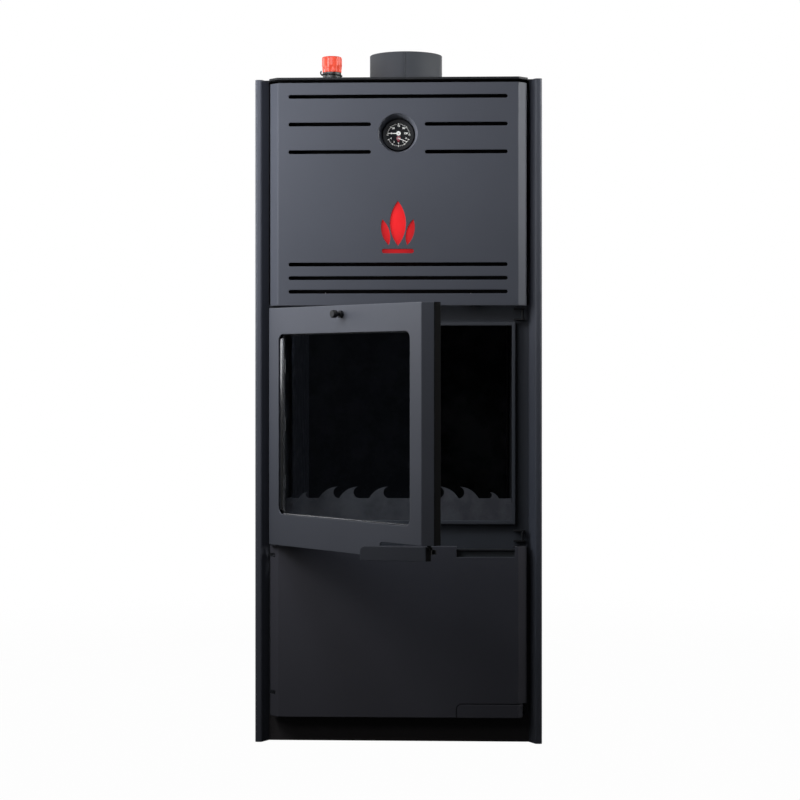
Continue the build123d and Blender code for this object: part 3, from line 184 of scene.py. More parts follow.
def baked(source: Object, name: str) -> Object:
    """Turns a curve, or an object with a modifier, to a plain mesh object.

    Args:
        source: The object, which is removed.
        name: The new object's name.

    Returns:
        The plain object, with no modifier on it.
    """
    graph = bpy.context.evaluated_depsgraph_get()
    mesh = bpy.data.meshes.new_from_object(source.evaluated_get(graph))
    mesh.name = name
    bpy.data.objects.remove(source)
    return linked(name, mesh)


def settle(piece: Object, body: Body, slot: Slot, *replaced: str) -> Object:
    """Gives a piece its body, and hides the CAD nodes that it stands for."""
    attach(piece, body.value)
    if replaced:
        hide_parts(*replaced)
    LOG.info("%s rides on %s", piece.name, body.value)
    return piece


def settle_mesh(
    name: str, mesh: Mesh, body: Body, slot: Slot, *replaced: str, finish: Finish | None = None
) -> Object:
    """Makes a piece of a mesh, in its own finish or its slot's, and settles it."""
    mesh.materials.clear()
    mesh.materials.append((finish or FINISHES[slot]).material())
    return settle(linked(name, mesh), body, slot, *replaced)


def slab(outline: Sequence[Flat], thickness: float) -> BMesh:
    """Draws a flat outline on the ground and raises it to a thickness. Sizes in millimetres."""
    work = bmesh.new()
    face = work.faces.new([work.verts.new((x * MM, y * MM, 0.0)) for x, y in outline])
    grown = bmesh.ops.extrude_face_region(work, geom=[face])
    moved = [item for item in grown["geom"] if isinstance(item, BMVert)]
    bmesh.ops.translate(work, vec=(0.0, 0.0, thickness * MM), verts=moved)
    return work


def add_block(work: BMesh, size: Sequence[float], place: Matrix) -> None:
    """Adds a block of a size in metres to a work mesh."""
    made = bmesh.ops.create_cube(work, size=1.0)["verts"]
    bmesh.ops.transform(work, matrix=place @ Matrix.Diagonal((*size, 1.0)), verts=made)


def bridge(work: BMesh, low: Sequence[BMVert], high: Sequence[BMVert]) -> None:
    """Walls the gap between two rings of vertices, either of which can be one point."""
    for i in range(max(len(low), len(high))):
        j = i + 1
        corners = [low[i % len(low)], low[j % len(low)], high[j % len(high)], high[i % len(high)]]
        work.faces.new(dict.fromkeys(corners))


def lathe(profile: Sequence[Flat], steps: int) -> Mesh:
    """Turns a profile of radius and height in millimetres about Z to a closed mesh."""
    work = bmesh.new()
    rings = []
    for radius, height in profile:
        turns = round_turns(steps) if radius else [0.0]
        rings.append([work.verts.new((*on_circle(radius * MM, turn), height * MM)) for turn in turns])
    for low, high in zip(rings, rings[1:]):
        bridge(work, low, high)
    return recalculated(mesh_from(work, "lathe"))


def edge_mesh(name: str, runs: Sequence[Sequence[Point]], closed: bool = False) -> Mesh:
    """Makes a mesh of edges only.

    Args:
        name: The mesh's name.
        runs: Each run's points in millimetres.
        closed: Whether each run ends where it starts.

    Returns:
        The mesh, in metres.
    """
    points: list[Point] = []
    edges: list[tuple[int, int]] = []
    for run in runs:
        first = len(points)
        points.extend((x * MM, y * MM, z * MM) for x, y, z in run)
        edges.extend((first + i, first + i + 1) for i in range(len(run) - 1))
        if closed:
            edges.append((len(points) - 1, first))
    mesh = bpy.data.meshes.new(name)
    mesh.from_pydata(points, edges, [])
    return mesh


def upright(y: float, z: float) -> Matrix:
    """Gives the turn that stands a flat drawing up to face the front, at a place in millimetres."""
    return Matrix.Translation((0.0, y * MM, z * MM)) @ Matrix.Rotation(math.radians(90.0), 4, "X")


def door_swing(angle: float) -> Matrix:
    """Gives the turn of the fire door by an angle in degrees about its hinge."""
    pivot = Matrix.Translation((FIRE_DOOR_HINGE[0] * MM, FIRE_DOOR_HINGE[1] * MM, 0.0))
    return pivot @ Matrix.Rotation(math.radians(angle), 4, "Z") @ pivot.inverted()


class Body(Enum):
    """The stove's moving bodies that new pieces ride on."""

    STOVE = "stove_body"
    FIRE_DOOR = "fire_door"
    ASH_DOOR = "ash_door"
    CAP = "valve_cap"
    HEAT_POINTER = "temperature_pointer"
    PRESSURE_POINTER = "pressure_pointer"


class Slot(Enum):
    """The record's material slots."""

    CASING_PAINT = "casing_paint"
    BOILER_PLATE = "boiler_plate"
    FIREBOX_STEEL = "firebox_steel"
    BARE_STEEL = "bare_steel"
    ZINC_SCREW = "zinc_screw"
    CAST_IRON = "cast_iron"
    ASH_PAN_STEEL = "ash_pan_steel"
    GLASS = "glass"
    LENS = "lens"
    ROPE = "rope"
    ACCENT_RED = "accent_red"
    DIAL_BLACK = "dial_black"
    GAUGE_BLACK = "gauge_black"
    POINTER_WHITE = "pointer_white"
    CAP_RED = "cap_red"
    BRASS = "brass"


# Finishes


@dataclass(frozen=True)
class Finish:
    """A finish with a name, from which one material is made and kept.

    Sizes that end in mm are those of the surface's features.
    """

    name: str

    def dress(self, add: Add, place: Source) -> Node:
        """Builds the shader.

        Args:
            add: Adds a node to the material's tree.
            place: The surface's place in metres.

        Returns:
            The node with the surface output.
        """
        raise NotImplementedError

    def material(self) -> Material:
        """Returns the material, made on first use."""
        known = bpy.data.materials.get(self.name)
        if known is not None:
            return known
        made = bpy.data.materials.new(self.name)
        made.use_nodes = True
        made.node_tree.nodes.clear()
        add = partial(add_node, made.node_tree)
        place = add("ShaderNodeTexCoord").outputs["Object"]
        add("ShaderNodeOutputMaterial", {"Surface": self.dress(add, place)})
        return made


@dataclass(frozen=True)
class SprayedPaint(Finish):
    """Stoving paint sprayed matt on steel: a fine dry grain, slow clouds of tone, lighter folds.

    The eye sees a flat anthracite with a soft, wide sheen and a slightly lighter line on each fold, painted
    in partly as rubbing and partly as a painted highlight.
    """

    colour: str = "#54575F"
    fold_highlight_and_wear_colour: str = "#6C6E75"
    roughness: float = 0.52
    specular: float = 0.35
    grain_mm: float = 1.1
    grain_depth_mm: float = 0.02
    cloud_mm: float = 160.0
    cloud_share: float = 0.10
    fold_mm: float = 1.8
    fold_from: float = 0.995
    fold_to: float = 0.93
    fold_highlight_and_wear: float = 0.45
    primer: str = "#070708"
    dark_roughness: float = 0.95
    dark_from_mm: float = 0.0
    dark_way: Point = (0.0, 0.0, 0.0)
    dark_blend_mm: float = 0.4

    def _dark_past_plane(self, add: Add, place: Source, coat: Source, rough: Source) -> tuple[Source, Source]:
        """Turns the colour dark past a plane: painted shade on the front plate, near-black returns on the
        fire door and its handle, and the darker top of the ash door frame.

        Args:
            add: Adds a node to the material's tree.
            place: The surface's place in metres.
            coat: The top coat's colour.
            rough: The top coat's roughness.

        Returns:
            The finished colour and roughness.
        """
        if self.dark_from_mm == 0.0:
            return coat, rough
        reach = add(VECTOR, {0: place, 1: self.dark_way}, operation="DOT_PRODUCT")
        near, far = self.dark_from_mm * MM, (self.dark_from_mm + self.dark_blend_mm) * MM
        past_plane = add(RANGE, {"Value": reach, "From Min": near, "From Max": far})
        return (
            add(MIX, {"Factor": past_plane, 6: coat, 7: linear(self.primer)}, data_type="RGBA"),
            add(MIX, {"Factor": past_plane, 2: rough, 3: self.dark_roughness}, data_type="FLOAT"),
        )

    def dress(self, add: Add, place: Source) -> Node:
        """Builds the paint."""
        cloud = add(NOISE, {"Vector": place, "Scale": per_mm(self.cloud_mm), "Detail": 4.0})
        # The real grain is about 0.3 mm, too fine for the picture, so it is drawn coarser.
        grain = add(NOISE, {"Vector": place, "Scale": per_mm(self.grain_mm), "Detail": 2.0})
        deep, light = (
            add("ShaderNodeHueSaturation", {"Value": 1.0 + share, "Color": linear(self.colour)})
            for share in (-self.cloud_share, self.cloud_share)
        )
        tone = add(MIX, {"Factor": cloud, 6: deep, 7: light}, data_type="RGBA")
        fold = add("ShaderNodeBevel", {"Radius": self.fold_mm * MM}, samples=4)
        flat = add("ShaderNodeNewGeometry").outputs["Normal"]
        bend = add(VECTOR, {0: fold, 1: flat}, operation="DOT_PRODUCT")
        # Folds are painted lighter: partly rubbing, partly a painted highlight where a fold catches the
        # light.
        edge = add(
            RANGE, {"Value": bend, "From Min": self.fold_from, "From Max": self.fold_to, "To Max": self.fold_highlight_and_wear}
        )
        fold_highlight_and_wear = add(MATH, {0: edge, 1: cloud}, operation="MULTIPLY")
        coat = add(MIX, {"Factor": fold_highlight_and_wear, 6: tone, 7: linear(self.fold_highlight_and_wear_colour)}, data_type="RGBA")
        rough = add(
            RANGE, {"Value": grain, "To Min": self.roughness - 0.05, "To Max": self.roughness + 0.06}
        )
        bump = add(
            BUMP, {"Height": grain, "Normal": fold, "Strength": 0.6, "Distance": self.grain_depth_mm * MM}
        )
        colour, dull = self._dark_past_plane(add, place, coat, rough)
        surface = {"Base Color": colour, "Roughness": dull, "Normal": bump}
        return add(PRINCIPLED, surface | {"IOR": 1.5, "Specular IOR Level": self.specular})


@dataclass(frozen=True)
class ScaledSteel(Finish):
    """Hot-rolled plate with mill scale and soot: near black, patchy, duller where soot lies."""

    scale_colour: str = "#17181B"
    soot_colour: str = "#0A0A0A"
    patch_mm: float = 55.0
    pit_mm: float = 2.5
    pit_depth_mm: float = 0.12

    def dress(self, add: Add, place: Source) -> Node:
        """Builds the steel."""
        patch = add(
            NOISE, {"Vector": place, "Scale": per_mm(self.patch_mm), "Detail": 6.0, "Roughness": 0.62}
        )
        pits = add(NOISE, {"Vector": place, "Scale": per_mm(self.pit_mm), "Detail": 3.0})
        soot = add(RANGE, {"Value": patch, "From Min": 0.38, "From Max": 0.62})
        tones = {6: linear(self.scale_colour), 7: linear(self.soot_colour)}
        tone = add(MIX, {"Factor": soot} | tones, data_type="RGBA")
        rough = add(RANGE, {"Value": soot, "To Min": 0.5, "To Max": 0.85})
        bump = add(BUMP, {"Height": pits, "Strength": 0.7, "Distance": self.pit_depth_mm * MM})
        surface = {"Base Color": tone, "Roughness": rough, "Normal": bump}
        return add(PRINCIPLED, surface | {"IOR": 1.5, "Specular IOR Level": 0.35})


@dataclass(frozen=True)
class CutMetal(Finish):
    """Turned, drawn or plated metal: bright, with fine lines that spread the shine."""

    colour: str = "#B9BABD"
    dull: str = "#8E9094"
    roughness: float = 0.3
    mark_mm: float = 0.8
    mark_stretch: float = 12.0
    mark_depth_mm: float = 0.01

    def dress(self, add: Add, place: Source) -> Node:
        """Builds the metal."""
        drawn = add("ShaderNodeMapping", {"Vector": place, "Scale": (1.0, 1.0, self.mark_stretch)})
        scale = per_mm(self.mark_mm * self.mark_stretch)
        lines = add(NOISE, {"Vector": drawn, "Scale": scale, "Detail": 3.0})
        tones = {6: linear(self.dull), 7: linear(self.colour)}
        tone = add(MIX, {"Factor": lines} | tones, data_type="RGBA")
        rough = add(
            RANGE, {"Value": lines, "To Min": self.roughness - 0.1, "To Max": self.roughness + 0.12}
        )
        bump = add(BUMP, {"Height": lines, "Strength": 0.5, "Distance": self.mark_depth_mm * MM})
        surface = {"Base Color": tone, "Roughness": rough, "Normal": bump}
        return add(PRINCIPLED, surface | {"Metallic": 1.0})


@dataclass(frozen=True)
class SpangledZinc(Finish):
    """Hot-dip galvanised sheet: flat zinc crystals about 9 mm across, each at its own tone."""

    bright: str = "#9DA1A6"
    dark: str = "#74787D"
    crystal_mm: float = 9.0

    def dress(self, add: Add, place: Source) -> Node:
        """Builds the zinc."""
        cells = add("ShaderNodeTexVoronoi", {"Vector": place, "Scale": per_mm(self.crystal_mm)})
        share = cells.outputs["Color"]
        tones = {6: linear(self.dark), 7: linear(self.bright)}
        tone = add(MIX, {"Factor": share} | tones, data_type="RGBA")
        rough = add(RANGE, {"Value": share, "To Min": 0.32, "To Max": 0.55})
        return add(PRINCIPLED, {"Base Color": tone, "Roughness": rough, "Metallic": 1.0})


@dataclass(frozen=True)
class SandCastIron(Finish):
    """Grey iron cast in sand: coarse grain of about 1.6 mm, dark, with a dull graphite shine."""

    colour: str = "#26272A"
    ash: str = "#4A4845"
    dust_mm: float = 60.0
    grain_mm: float = 1.6
    grain_depth_mm: float = 0.25

    def dress(self, add: Add, place: Source) -> Node:
        """Builds the iron."""
        grain = add(NOISE, {"Vector": place, "Scale": per_mm(self.grain_mm), "Detail": 4.0})
        dust = add(NOISE, {"Vector": place, "Scale": per_mm(self.dust_mm), "Detail": 5.0})
        share = add(RANGE, {"Value": dust, "From Min": 0.5, "From Max": 0.75, "To Max": 0.6})
        tones = {6: linear(self.colour), 7: linear(self.ash)}
        tone = add(MIX, {"Factor": share} | tones, data_type="RGBA")
        bump = add(BUMP, {"Height": grain, "Strength": 0.8, "Distance": self.grain_depth_mm * MM})
        return add(PRINCIPLED, {"Base Color": tone, "Normal": bump, "IOR": 1.6, "Roughness": 0.62})


@dataclass(frozen=True)
class MouldedPlastic(Finish):
    """Injection-moulded plastic: even colour, a satin skin and a trace of flow in its gloss."""

    colour: str = "#1A1B1D"
    roughness: float = 0.35
    flow_mm: float = 14.0
    skin_mm: float = 0.6
    skin_depth_mm: float = 0.01
    # Painted light: an emission that makes the part shine though it is no lamp.
    glow: float = 0.0

    def _ground(self, add: Add, place: Source) -> Colour | Source:
        """Gives the colour that the flow then varies."""
        return linear(self.colour)

    def dress(self, add: Add, place: Source) -> Node:
        """Builds the plastic."""
        flow = add(NOISE, {"Vector": place, "Scale": per_mm(self.flow_mm), "Detail": 3.0})
        skin = add(NOISE, {"Vector": place, "Scale": per_mm(self.skin_mm)})
        value = add(RANGE, {"Value": flow, "To Min": 0.9, "To Max": 1.1})
        tone = add("ShaderNodeHueSaturation", {"Value": value, "Color": self._ground(add, place)})
        rough = add(
            RANGE, {"Value": flow, "To Min": self.roughness - 0.05, "To Max": self.roughness + 0.08}
        )
        bump = add(BUMP, {"Height": skin, "Strength": 0.3, "Distance": self.skin_depth_mm * MM})
        surface = {"Base Color": tone, "Roughness": rough, "Normal": bump, "IOR": 1.49}
        light = {"Emission Color": linear(self.colour), "Emission Strength": self.glow}
        return add(PRINCIPLED, surface | light)


@dataclass(frozen=True)
class ShadedEnamel(MouldedPlastic):
    """Stoved enamel behind the ornament, with painted light and shade: bright at its heart, painted dark red
    away from it where the panel's shade falls.
    """

    shade: str = "#5A0310"
    heart: Point = (0.0, 0.0, 980.0)
    bright_mm: float = 8.0
    dark_mm: float = 42.0
    tall: float = 1.8

    def _ground(self, add: Add, place: Source) -> Colour | Source:
        """Paints shade: darkens the colour away from its painted bright heart."""
        centre = tuple(value * MM for value in self.heart)
        away = add(VECTOR, {0: place, 1: centre}, operation="SUBTRACT")
        flat = add(VECTOR, {0: away, 1: (1.0, 0.0, 1.0 / self.tall)}, operation="MULTIPLY")
        reach = add(VECTOR, {0: flat}, operation="LENGTH")
        share = add(
            RANGE, {"Value": reach, "From Min": self.bright_mm * MM, "From Max": self.dark_mm * MM}
        )
        tones = {6: linear(self.colour), 7: linear(self.shade)}
        return add(MIX, {"Factor": share} | tones, data_type="RGBA")


@dataclass(frozen=True)
class CeramicGlass(Finish):
    """Clear glass ceramic: polished both sides, a blue shine, faint haze where smoke dried."""

    tint: str = "#F1F4F7"
    shine: str = "#A9C6FF"
    ior: float = 1.5
    smoke_mm: float = 90.0
    haze: float = 0.02

    def dress(self, add: Add, place: Source) -> Node:
        """Builds the glass, which lets shadow and diffuse rays straight through."""
        smoke = add(NOISE, {"Vector": place, "Scale": per_mm(self.smoke_mm), "Detail": 4.0})
        rough = add(RANGE, {"Value": smoke, "From Min": 0.5, "From Max": 0.8, "To Max": self.haze})
        colours = {"Base Color": linear(self.tint), "Specular Tint": linear(self.shine)}
        body = add(PRINCIPLED, colours | {"Roughness": rough, "IOR": self.ior, "Transmission Weight": 1.0})
        clear = add("ShaderNodeBsdfTransparent", {"Color": linear(self.tint)})
        ray = add("ShaderNodeLightPath").outputs
        soft = add(MATH, {0: ray["Is Shadow Ray"], 1: ray["Is Diffuse Ray"]}, operation="MAXIMUM")
        return add("ShaderNodeMixShader", {0: soft, 1: body, 2: clear})


@dataclass(frozen=True)
class GlassFibreRope(Finish):
    """Knitted glass-fibre rope: graphite-dyed yarn, each yarn a bundle of hair-fine fibres."""

    colour: str = "#3B3B3D"
    pale: str = "#6A6966"
    dye_mm: float = 25.0
    fibre_mm: float = 0.35
    fibre_depth_mm: float = 0.08

    def dress(self, add: Add, place: Source) -> Node:
        """Builds the yarn."""
        fibres = add(NOISE, {"Vector": place, "Scale": per_mm(self.fibre_mm), "Detail": 2.0})
        dye = add(NOISE, {"Vector": place, "Scale": per_mm(self.dye_mm), "Detail": 4.0})
        share = add(RANGE, {"Value": dye, "From Min": 0.45, "From Max": 0.8})
        tones = {6: linear(self.colour), 7: linear(self.pale)}
        tone = add(MIX, {"Factor": share} | tones, data_type="RGBA")
        bump = add(BUMP, {"Height": fibres, "Strength": 0.9, "Distance": self.fibre_depth_mm * MM})
        fluff = {"Roughness": 0.82, "Sheen Weight": 0.25, "Sheen Roughness": 0.5}
        return add(PRINCIPLED, {"Base Color": tone, "Normal": bump} | fluff)


@dataclass(frozen=True)
class PaleGround(Finish):
    """Matt studio floor: shown near white, but dark grey to the lamps, so it throws little light up.

    It has no grain that shows, takes a soft shadow and fades out far away.
    """

    colour: str = "#3C3C3C"
    shown: float = 0.985
    fade_from: float = 1.2
    fade_to: float = 2.6

    def dress(self, add: Add, place: Source) -> Node:
        """Builds the floor, which shows the camera, mirrors and glass near white."""
        lit = add("ShaderNodeBsdfDiffuse", {"Color": linear(self.colour)})
        glow = add("ShaderNodeEmission", {"Color": WHITE, "Strength": 1.0})
        ray = add("ShaderNodeLightPath").outputs
        seen = add(MATH, {0: ray["Is Camera Ray"], 1: ray["Is Transmission Ray"]}, operation="MAXIMUM")
        share = add(MATH, {0: seen, 1: self.shown}, operation="MULTIPLY")
        near = add("ShaderNodeMixShader", {0: share, 1: lit, 2: glow})
        reach = add(VECTOR, {0: place}, operation="LENGTH")
        far = add(
            RANGE,
            {"Value": reach, "From Min": self.fade_from, "From Max": self.fade_to},
            interpolation_type="SMOOTHSTEP",
        )
        return add("ShaderNodeMixShader", {0: far, 1: near, 2: add("ShaderNodeBsdfTransparent")})


UP: Point = (0.0, 0.0, 1.0)
# The fire door stands 49 degrees open, so its own cross direction is turned by as much.
FIRE_DOOR_ANGLE = 49.0
FIRE_DOOR_OPEN = math.radians(FIRE_DOOR_ANGLE)
FIRE_DOOR_ACROSS: Point = (math.cos(FIRE_DOOR_OPEN), -math.sin(FIRE_DOOR_OPEN), 0.0)
FIRE_DOOR_HINGE: Flat = (-231.0, -292.0)
# The shut door's fold, beyond which its return is darkened to near black
FIRE_DOOR_FOLD_X = 240.9
FIRE_DOOR_RETURN_MM = (
    FIRE_DOOR_FOLD_X
    - FIRE_DOOR_HINGE[0]
    + FIRE_DOOR_HINGE[0] * FIRE_DOOR_ACROSS[0]
    + FIRE_DOOR_HINGE[1] * FIRE_DOOR_ACROSS[1]
)
HANDLE_TURN = math.radians(10.0)

CASING_PAINT = SprayedPaint("anthracite_stoving_paint")
PLATE_PAINT = SprayedPaint(
    "black_stove_plate_paint",
    colour="#1F2022",
    fold_highlight_and_wear_colour="#3A3B3D",
    roughness=0.6,
    specular=0.4,
    grain_mm=1.4,
    grain_depth_mm=0.05,
    fold_highlight_and_wear=0.2,
)
# Past its plane a paint turns near black and rough. On the front plate that is painted shade, which makes the
# slots in front of it look black; the fire door's and the handle's returns are darkened to near black.
DOOR_PAINT = SprayedPaint(
    "anthracite_paint_with_masked_return",
    # The fire door's folds get a strong painted highlight on top of rubbing.
    fold_highlight_and_wear_colour="#8C8F96",
    fold_highlight_and_wear=0.9,
    dark_from_mm=FIRE_DOOR_RETURN_MM,
    dark_way=FIRE_DOOR_ACROSS,
)
HANDLE_PAINT = SprayedPaint(
    "anthracite_paint_on_handle_with_dark_return",
    dark_from_mm=174.6,
    dark_way=(math.cos(HANDLE_TURN), -math.sin(HANDLE_TURN), 0.0),
)
ASH_DOOR_PAINT = SprayedPaint("anthracite_paint_on_ash_door", colour="#53535A", fold_highlight_and_wear_colour="#6A6A71")
# Painted light: the frame is a lighter grey than it is, to lift the shade in the recess under its top rail;
# above 360.8 mm it stays darker.
ASH_FRAME_PAINT = SprayedPaint(
    "grey_paint_with_painted_light_on_ash_door_frame",
    colour="#73767B",
    fold_highlight_and_wear_colour="#84878C",
    primer="#2C2D30",
    dark_from_mm=360.8,
    dark_way=UP,
)
# Painted shade: above 823 mm, behind the upper panel, the front plate turns near black so that the panel's
# slots look dark.
FRONT_PAINT = SprayedPaint(
    "anthracite_paint_on_boiler_front_with_painted_shade_above",
    colour="#4E5157",
    roughness=0.58,
    fold_highlight_and_wear=0.2,
    dark_from_mm=823.0,
    dark_way=UP,
)
# Painted light: the gauge sleeve is painted a paler grey than the casing, standing for light that reaches
# into it.
SLEEVE_PAINT = SprayedPaint("gauge_sleeve_paint_lightened_as_painted_light", colour="#7C7F87", roughness=0.45, fold_highlight_and_wear=0.1)
PLINTH_PAINT = SprayedPaint("black_plinth_paint", colour="#4E4B4D", roughness=0.62, fold_highlight_and_wear=0.2)
FLUE_PAINT = SprayedPaint(
    "anthracite_paint_on_flue_pipe", colour="#55585D", fold_highlight_and_wear_colour="#6A6C70", roughness=0.6, cloud_mm=40.0
)
GUARD_STEEL = ScaledSteel(
    "cut_grey_steel_guard", scale_colour="#626368", soot_colour="#545459", patch_mm=40.0, pit_depth_mm=0.05
)
STRIP_STEEL = CutMetal("polished_steel_window_strip", roughness=0.2, mark_stretch=4.0)
COLLAR_METAL = CutMetal("dulled_nickel_valve_casting", colour="#6B6C6A", dull="#3A3B3B", roughness=0.45)
BRIGHT_THREAD = CutMetal("bright_rolled_screw_thread", colour="#F0F1F2", dull="#C4C6C8", roughness=0.25)
STRAP_BLACK = MouldedPlastic("matt_black_strap_rubber", colour="#121213", roughness=0.75)
# Painted light and shade: bright red at a heart, painted dark towards the edges, with a glow though the sheet
# is no lamp.
ORNAMENT_ENAMEL = ShadedEnamel("red_enamel_with_painted_light_and_shade_behind_ornament", colour="#FF2227", roughness=0.4, glow=0.26)
SET_RED = MouldedPlastic("red_set_mark_print", colour="#8E0F2A", roughness=0.5)
SET_PINK = MouldedPlastic("pale_red_set_ring_print", colour="#E8909C", roughness=0.5)
FINISHES: dict[Slot, Finish] = {
    Slot.CASING_PAINT: CASING_PAINT,
    Slot.BOILER_PLATE: PLATE_PAINT,
    Slot.FIREBOX_STEEL: ScaledSteel("sooted_mill_scale_steel", scale_colour="#222429", soot_colour="#141414"),
    Slot.BARE_STEEL: CutMetal("turned_mild_steel"),
    Slot.ZINC_SCREW: CutMetal("black_zinc_plated_screw", colour="#5A5B5E", dull="#3C3D40", roughness=0.4),
    Slot.CAST_IRON: SandCastIron("sand_cast_grey_iron"),
    Slot.ASH_PAN_STEEL: SpangledZinc("galvanised_sheet_steel"),
    Slot.GLASS: CeramicGlass("clear_glass_ceramic"),
    Slot.LENS: CeramicGlass("gauge_float_glass", tint="#FBFCFC", haze=0.0),
    Slot.ROPE: GlassFibreRope("knitted_glass_fibre_rope"),
    # Painted light: a glow makes the red enamel shine though it is no lamp.
    Slot.ACCENT_RED: MouldedPlastic("red_stoved_enamel_sheet", colour="#FB2A2C", roughness=0.4, glow=0.35),
    Slot.DIAL_BLACK: MouldedPlastic("matt_black_dial_print", colour="#0A0B10", roughness=0.72),
    Slot.GAUGE_BLACK: MouldedPlastic("black_gauge_case_plastic", colour="#0D0E11", roughness=0.45),
    # Painted light: a glow brightens the white pointers, ticks and figures in the gauge's shaded recess.
    Slot.POINTER_WHITE: MouldedPlastic("white_pointer_plastic", colour="#F7F7F6", roughness=0.4, glow=0.5),
    # Painted light: a glow stands for light shining through the cap's plastic.
    Slot.CAP_RED: MouldedPlastic("red_valve_cap_plastic", colour="#FF5E46", roughness=0.25, glow=0.22),
    Slot.BRASS: CutMetal("blackened_brass_casting", colour="#4B4A48", dull="#2E2D2C", roughness=0.42),
}
OWN_FINISHES: dict[str, Finish] = {
    "flue_spigot": FLUE_PAINT,
    "top_cover": PLATE_PAINT,
    "latch_keepers": PLATE_PAINT,
    "fire_latch_shaft": PLATE_PAINT,
    "plinth": PLINTH_PAINT,
    "fire_door_skin": DOOR_PAINT,
    "fire_door_handle": HANDLE_PAINT,
    "front_plate": FRONT_PAINT,
    "fire_opening_lip": FRONT_PAINT,
    "ash_opening_lip": FRONT_PAINT,
    "hinge_brackets": FRONT_PAINT,
    "ash_door_frame": ASH_FRAME_PAINT,
    "ash_door_skin": ASH_DOOR_PAINT,
    "ash_door_handle": ASH_DOOR_PAINT,
    "gauge_bezel": SLEEVE_PAINT,
    "ornament_backing_plate": ORNAMENT_ENAMEL,
    "log_guard": GUARD_STEEL,
    "guard_posts": GUARD_STEEL,
    "valve_body": COLLAR_METAL,
}


# Studio


@dataclass
class AreaLamp:
    """One soft rectangular lamp. Places and sizes in metres, power in watts, spread in degrees."""

    name: str
    place: Point
    aim: Point
    width: float
    height: float
    power: float
    spread: float = 180.0
    colour: str = "#FFFFFF"

    def build(self) -> Object:
        """Makes the lamp, unseen by the camera."""
        data = bpy.data.lights.new(self.name, "AREA")
        data.shape = "RECTANGLE"
        data.size = self.width
        data.size_y = self.height
        data.energy = self.power
        data.spread = math.radians(self.spread)
        data.color = linear(self.colour)[:3]
        lamp = linked(self.name, data)
        lamp.location = self.place
        lamp.rotation_euler = (Vector(self.aim) - Vector(self.place)).to_track_quat("-Z", "Y").to_euler()
        lamp.visible_camera = False
        lamp.visible_transmission = False
        return lamp


# Placed and sized by the photograph's reflections and shadows
LAMPS = (
    AreaLamp("strip_left", (-0.70, -0.62, 1.15), (0.0, -0.3, 1.25), 0.22, 0.75, 3.2, colour="#F2F5FF"),
    AreaLamp("strip_left_front", (-0.85, -1.0, 1.3), (0.0, -0.3, 1.2), 0.3, 0.7, 4.5),
    AreaLamp("softbox_left_back", (-1.25, 0.415, 1.19), (-0.27, 0.415, 1.19), 1.0, 0.94, 8.0),
    AreaLamp("glow_left", (-1.25, -0.11, 0.95), (-0.27, -0.11, 0.95), 0.05, 1.2, 0.009),
    AreaLamp("softbox_low_left", (-0.9, -1.4, 0.9), (0.0, -0.3, 1.0), 0.4, 0.4, 1.2),
    AreaLamp("softbox_front", (-0.2, -1.0, 1.5), (0.0, -0.3, 1.1), 0.4, 0.4, 2.4, colour="#F2F5FF"),
    AreaLamp("strip_right", (1.3, -0.40, 1.18), (0.24, -0.3, 1.03), 0.2, 0.62, 4.0),
    AreaLamp("strip_right_near", (0.9, -0.42, 1.5), (0.24, -0.3, 1.05), 0.2, 0.4, 1.0, 75.0),
    AreaLamp("softbox_right_back", (2.0, 0.4, 1.9), (0.27, 0.2, 0.7), 0.8, 0.8, 12.0),
    AreaLamp("softbox_back", (0.8, 3.0, 2.4), (0.0, 0.3, 0.7), 1.6, 1.6, 28.0),
)


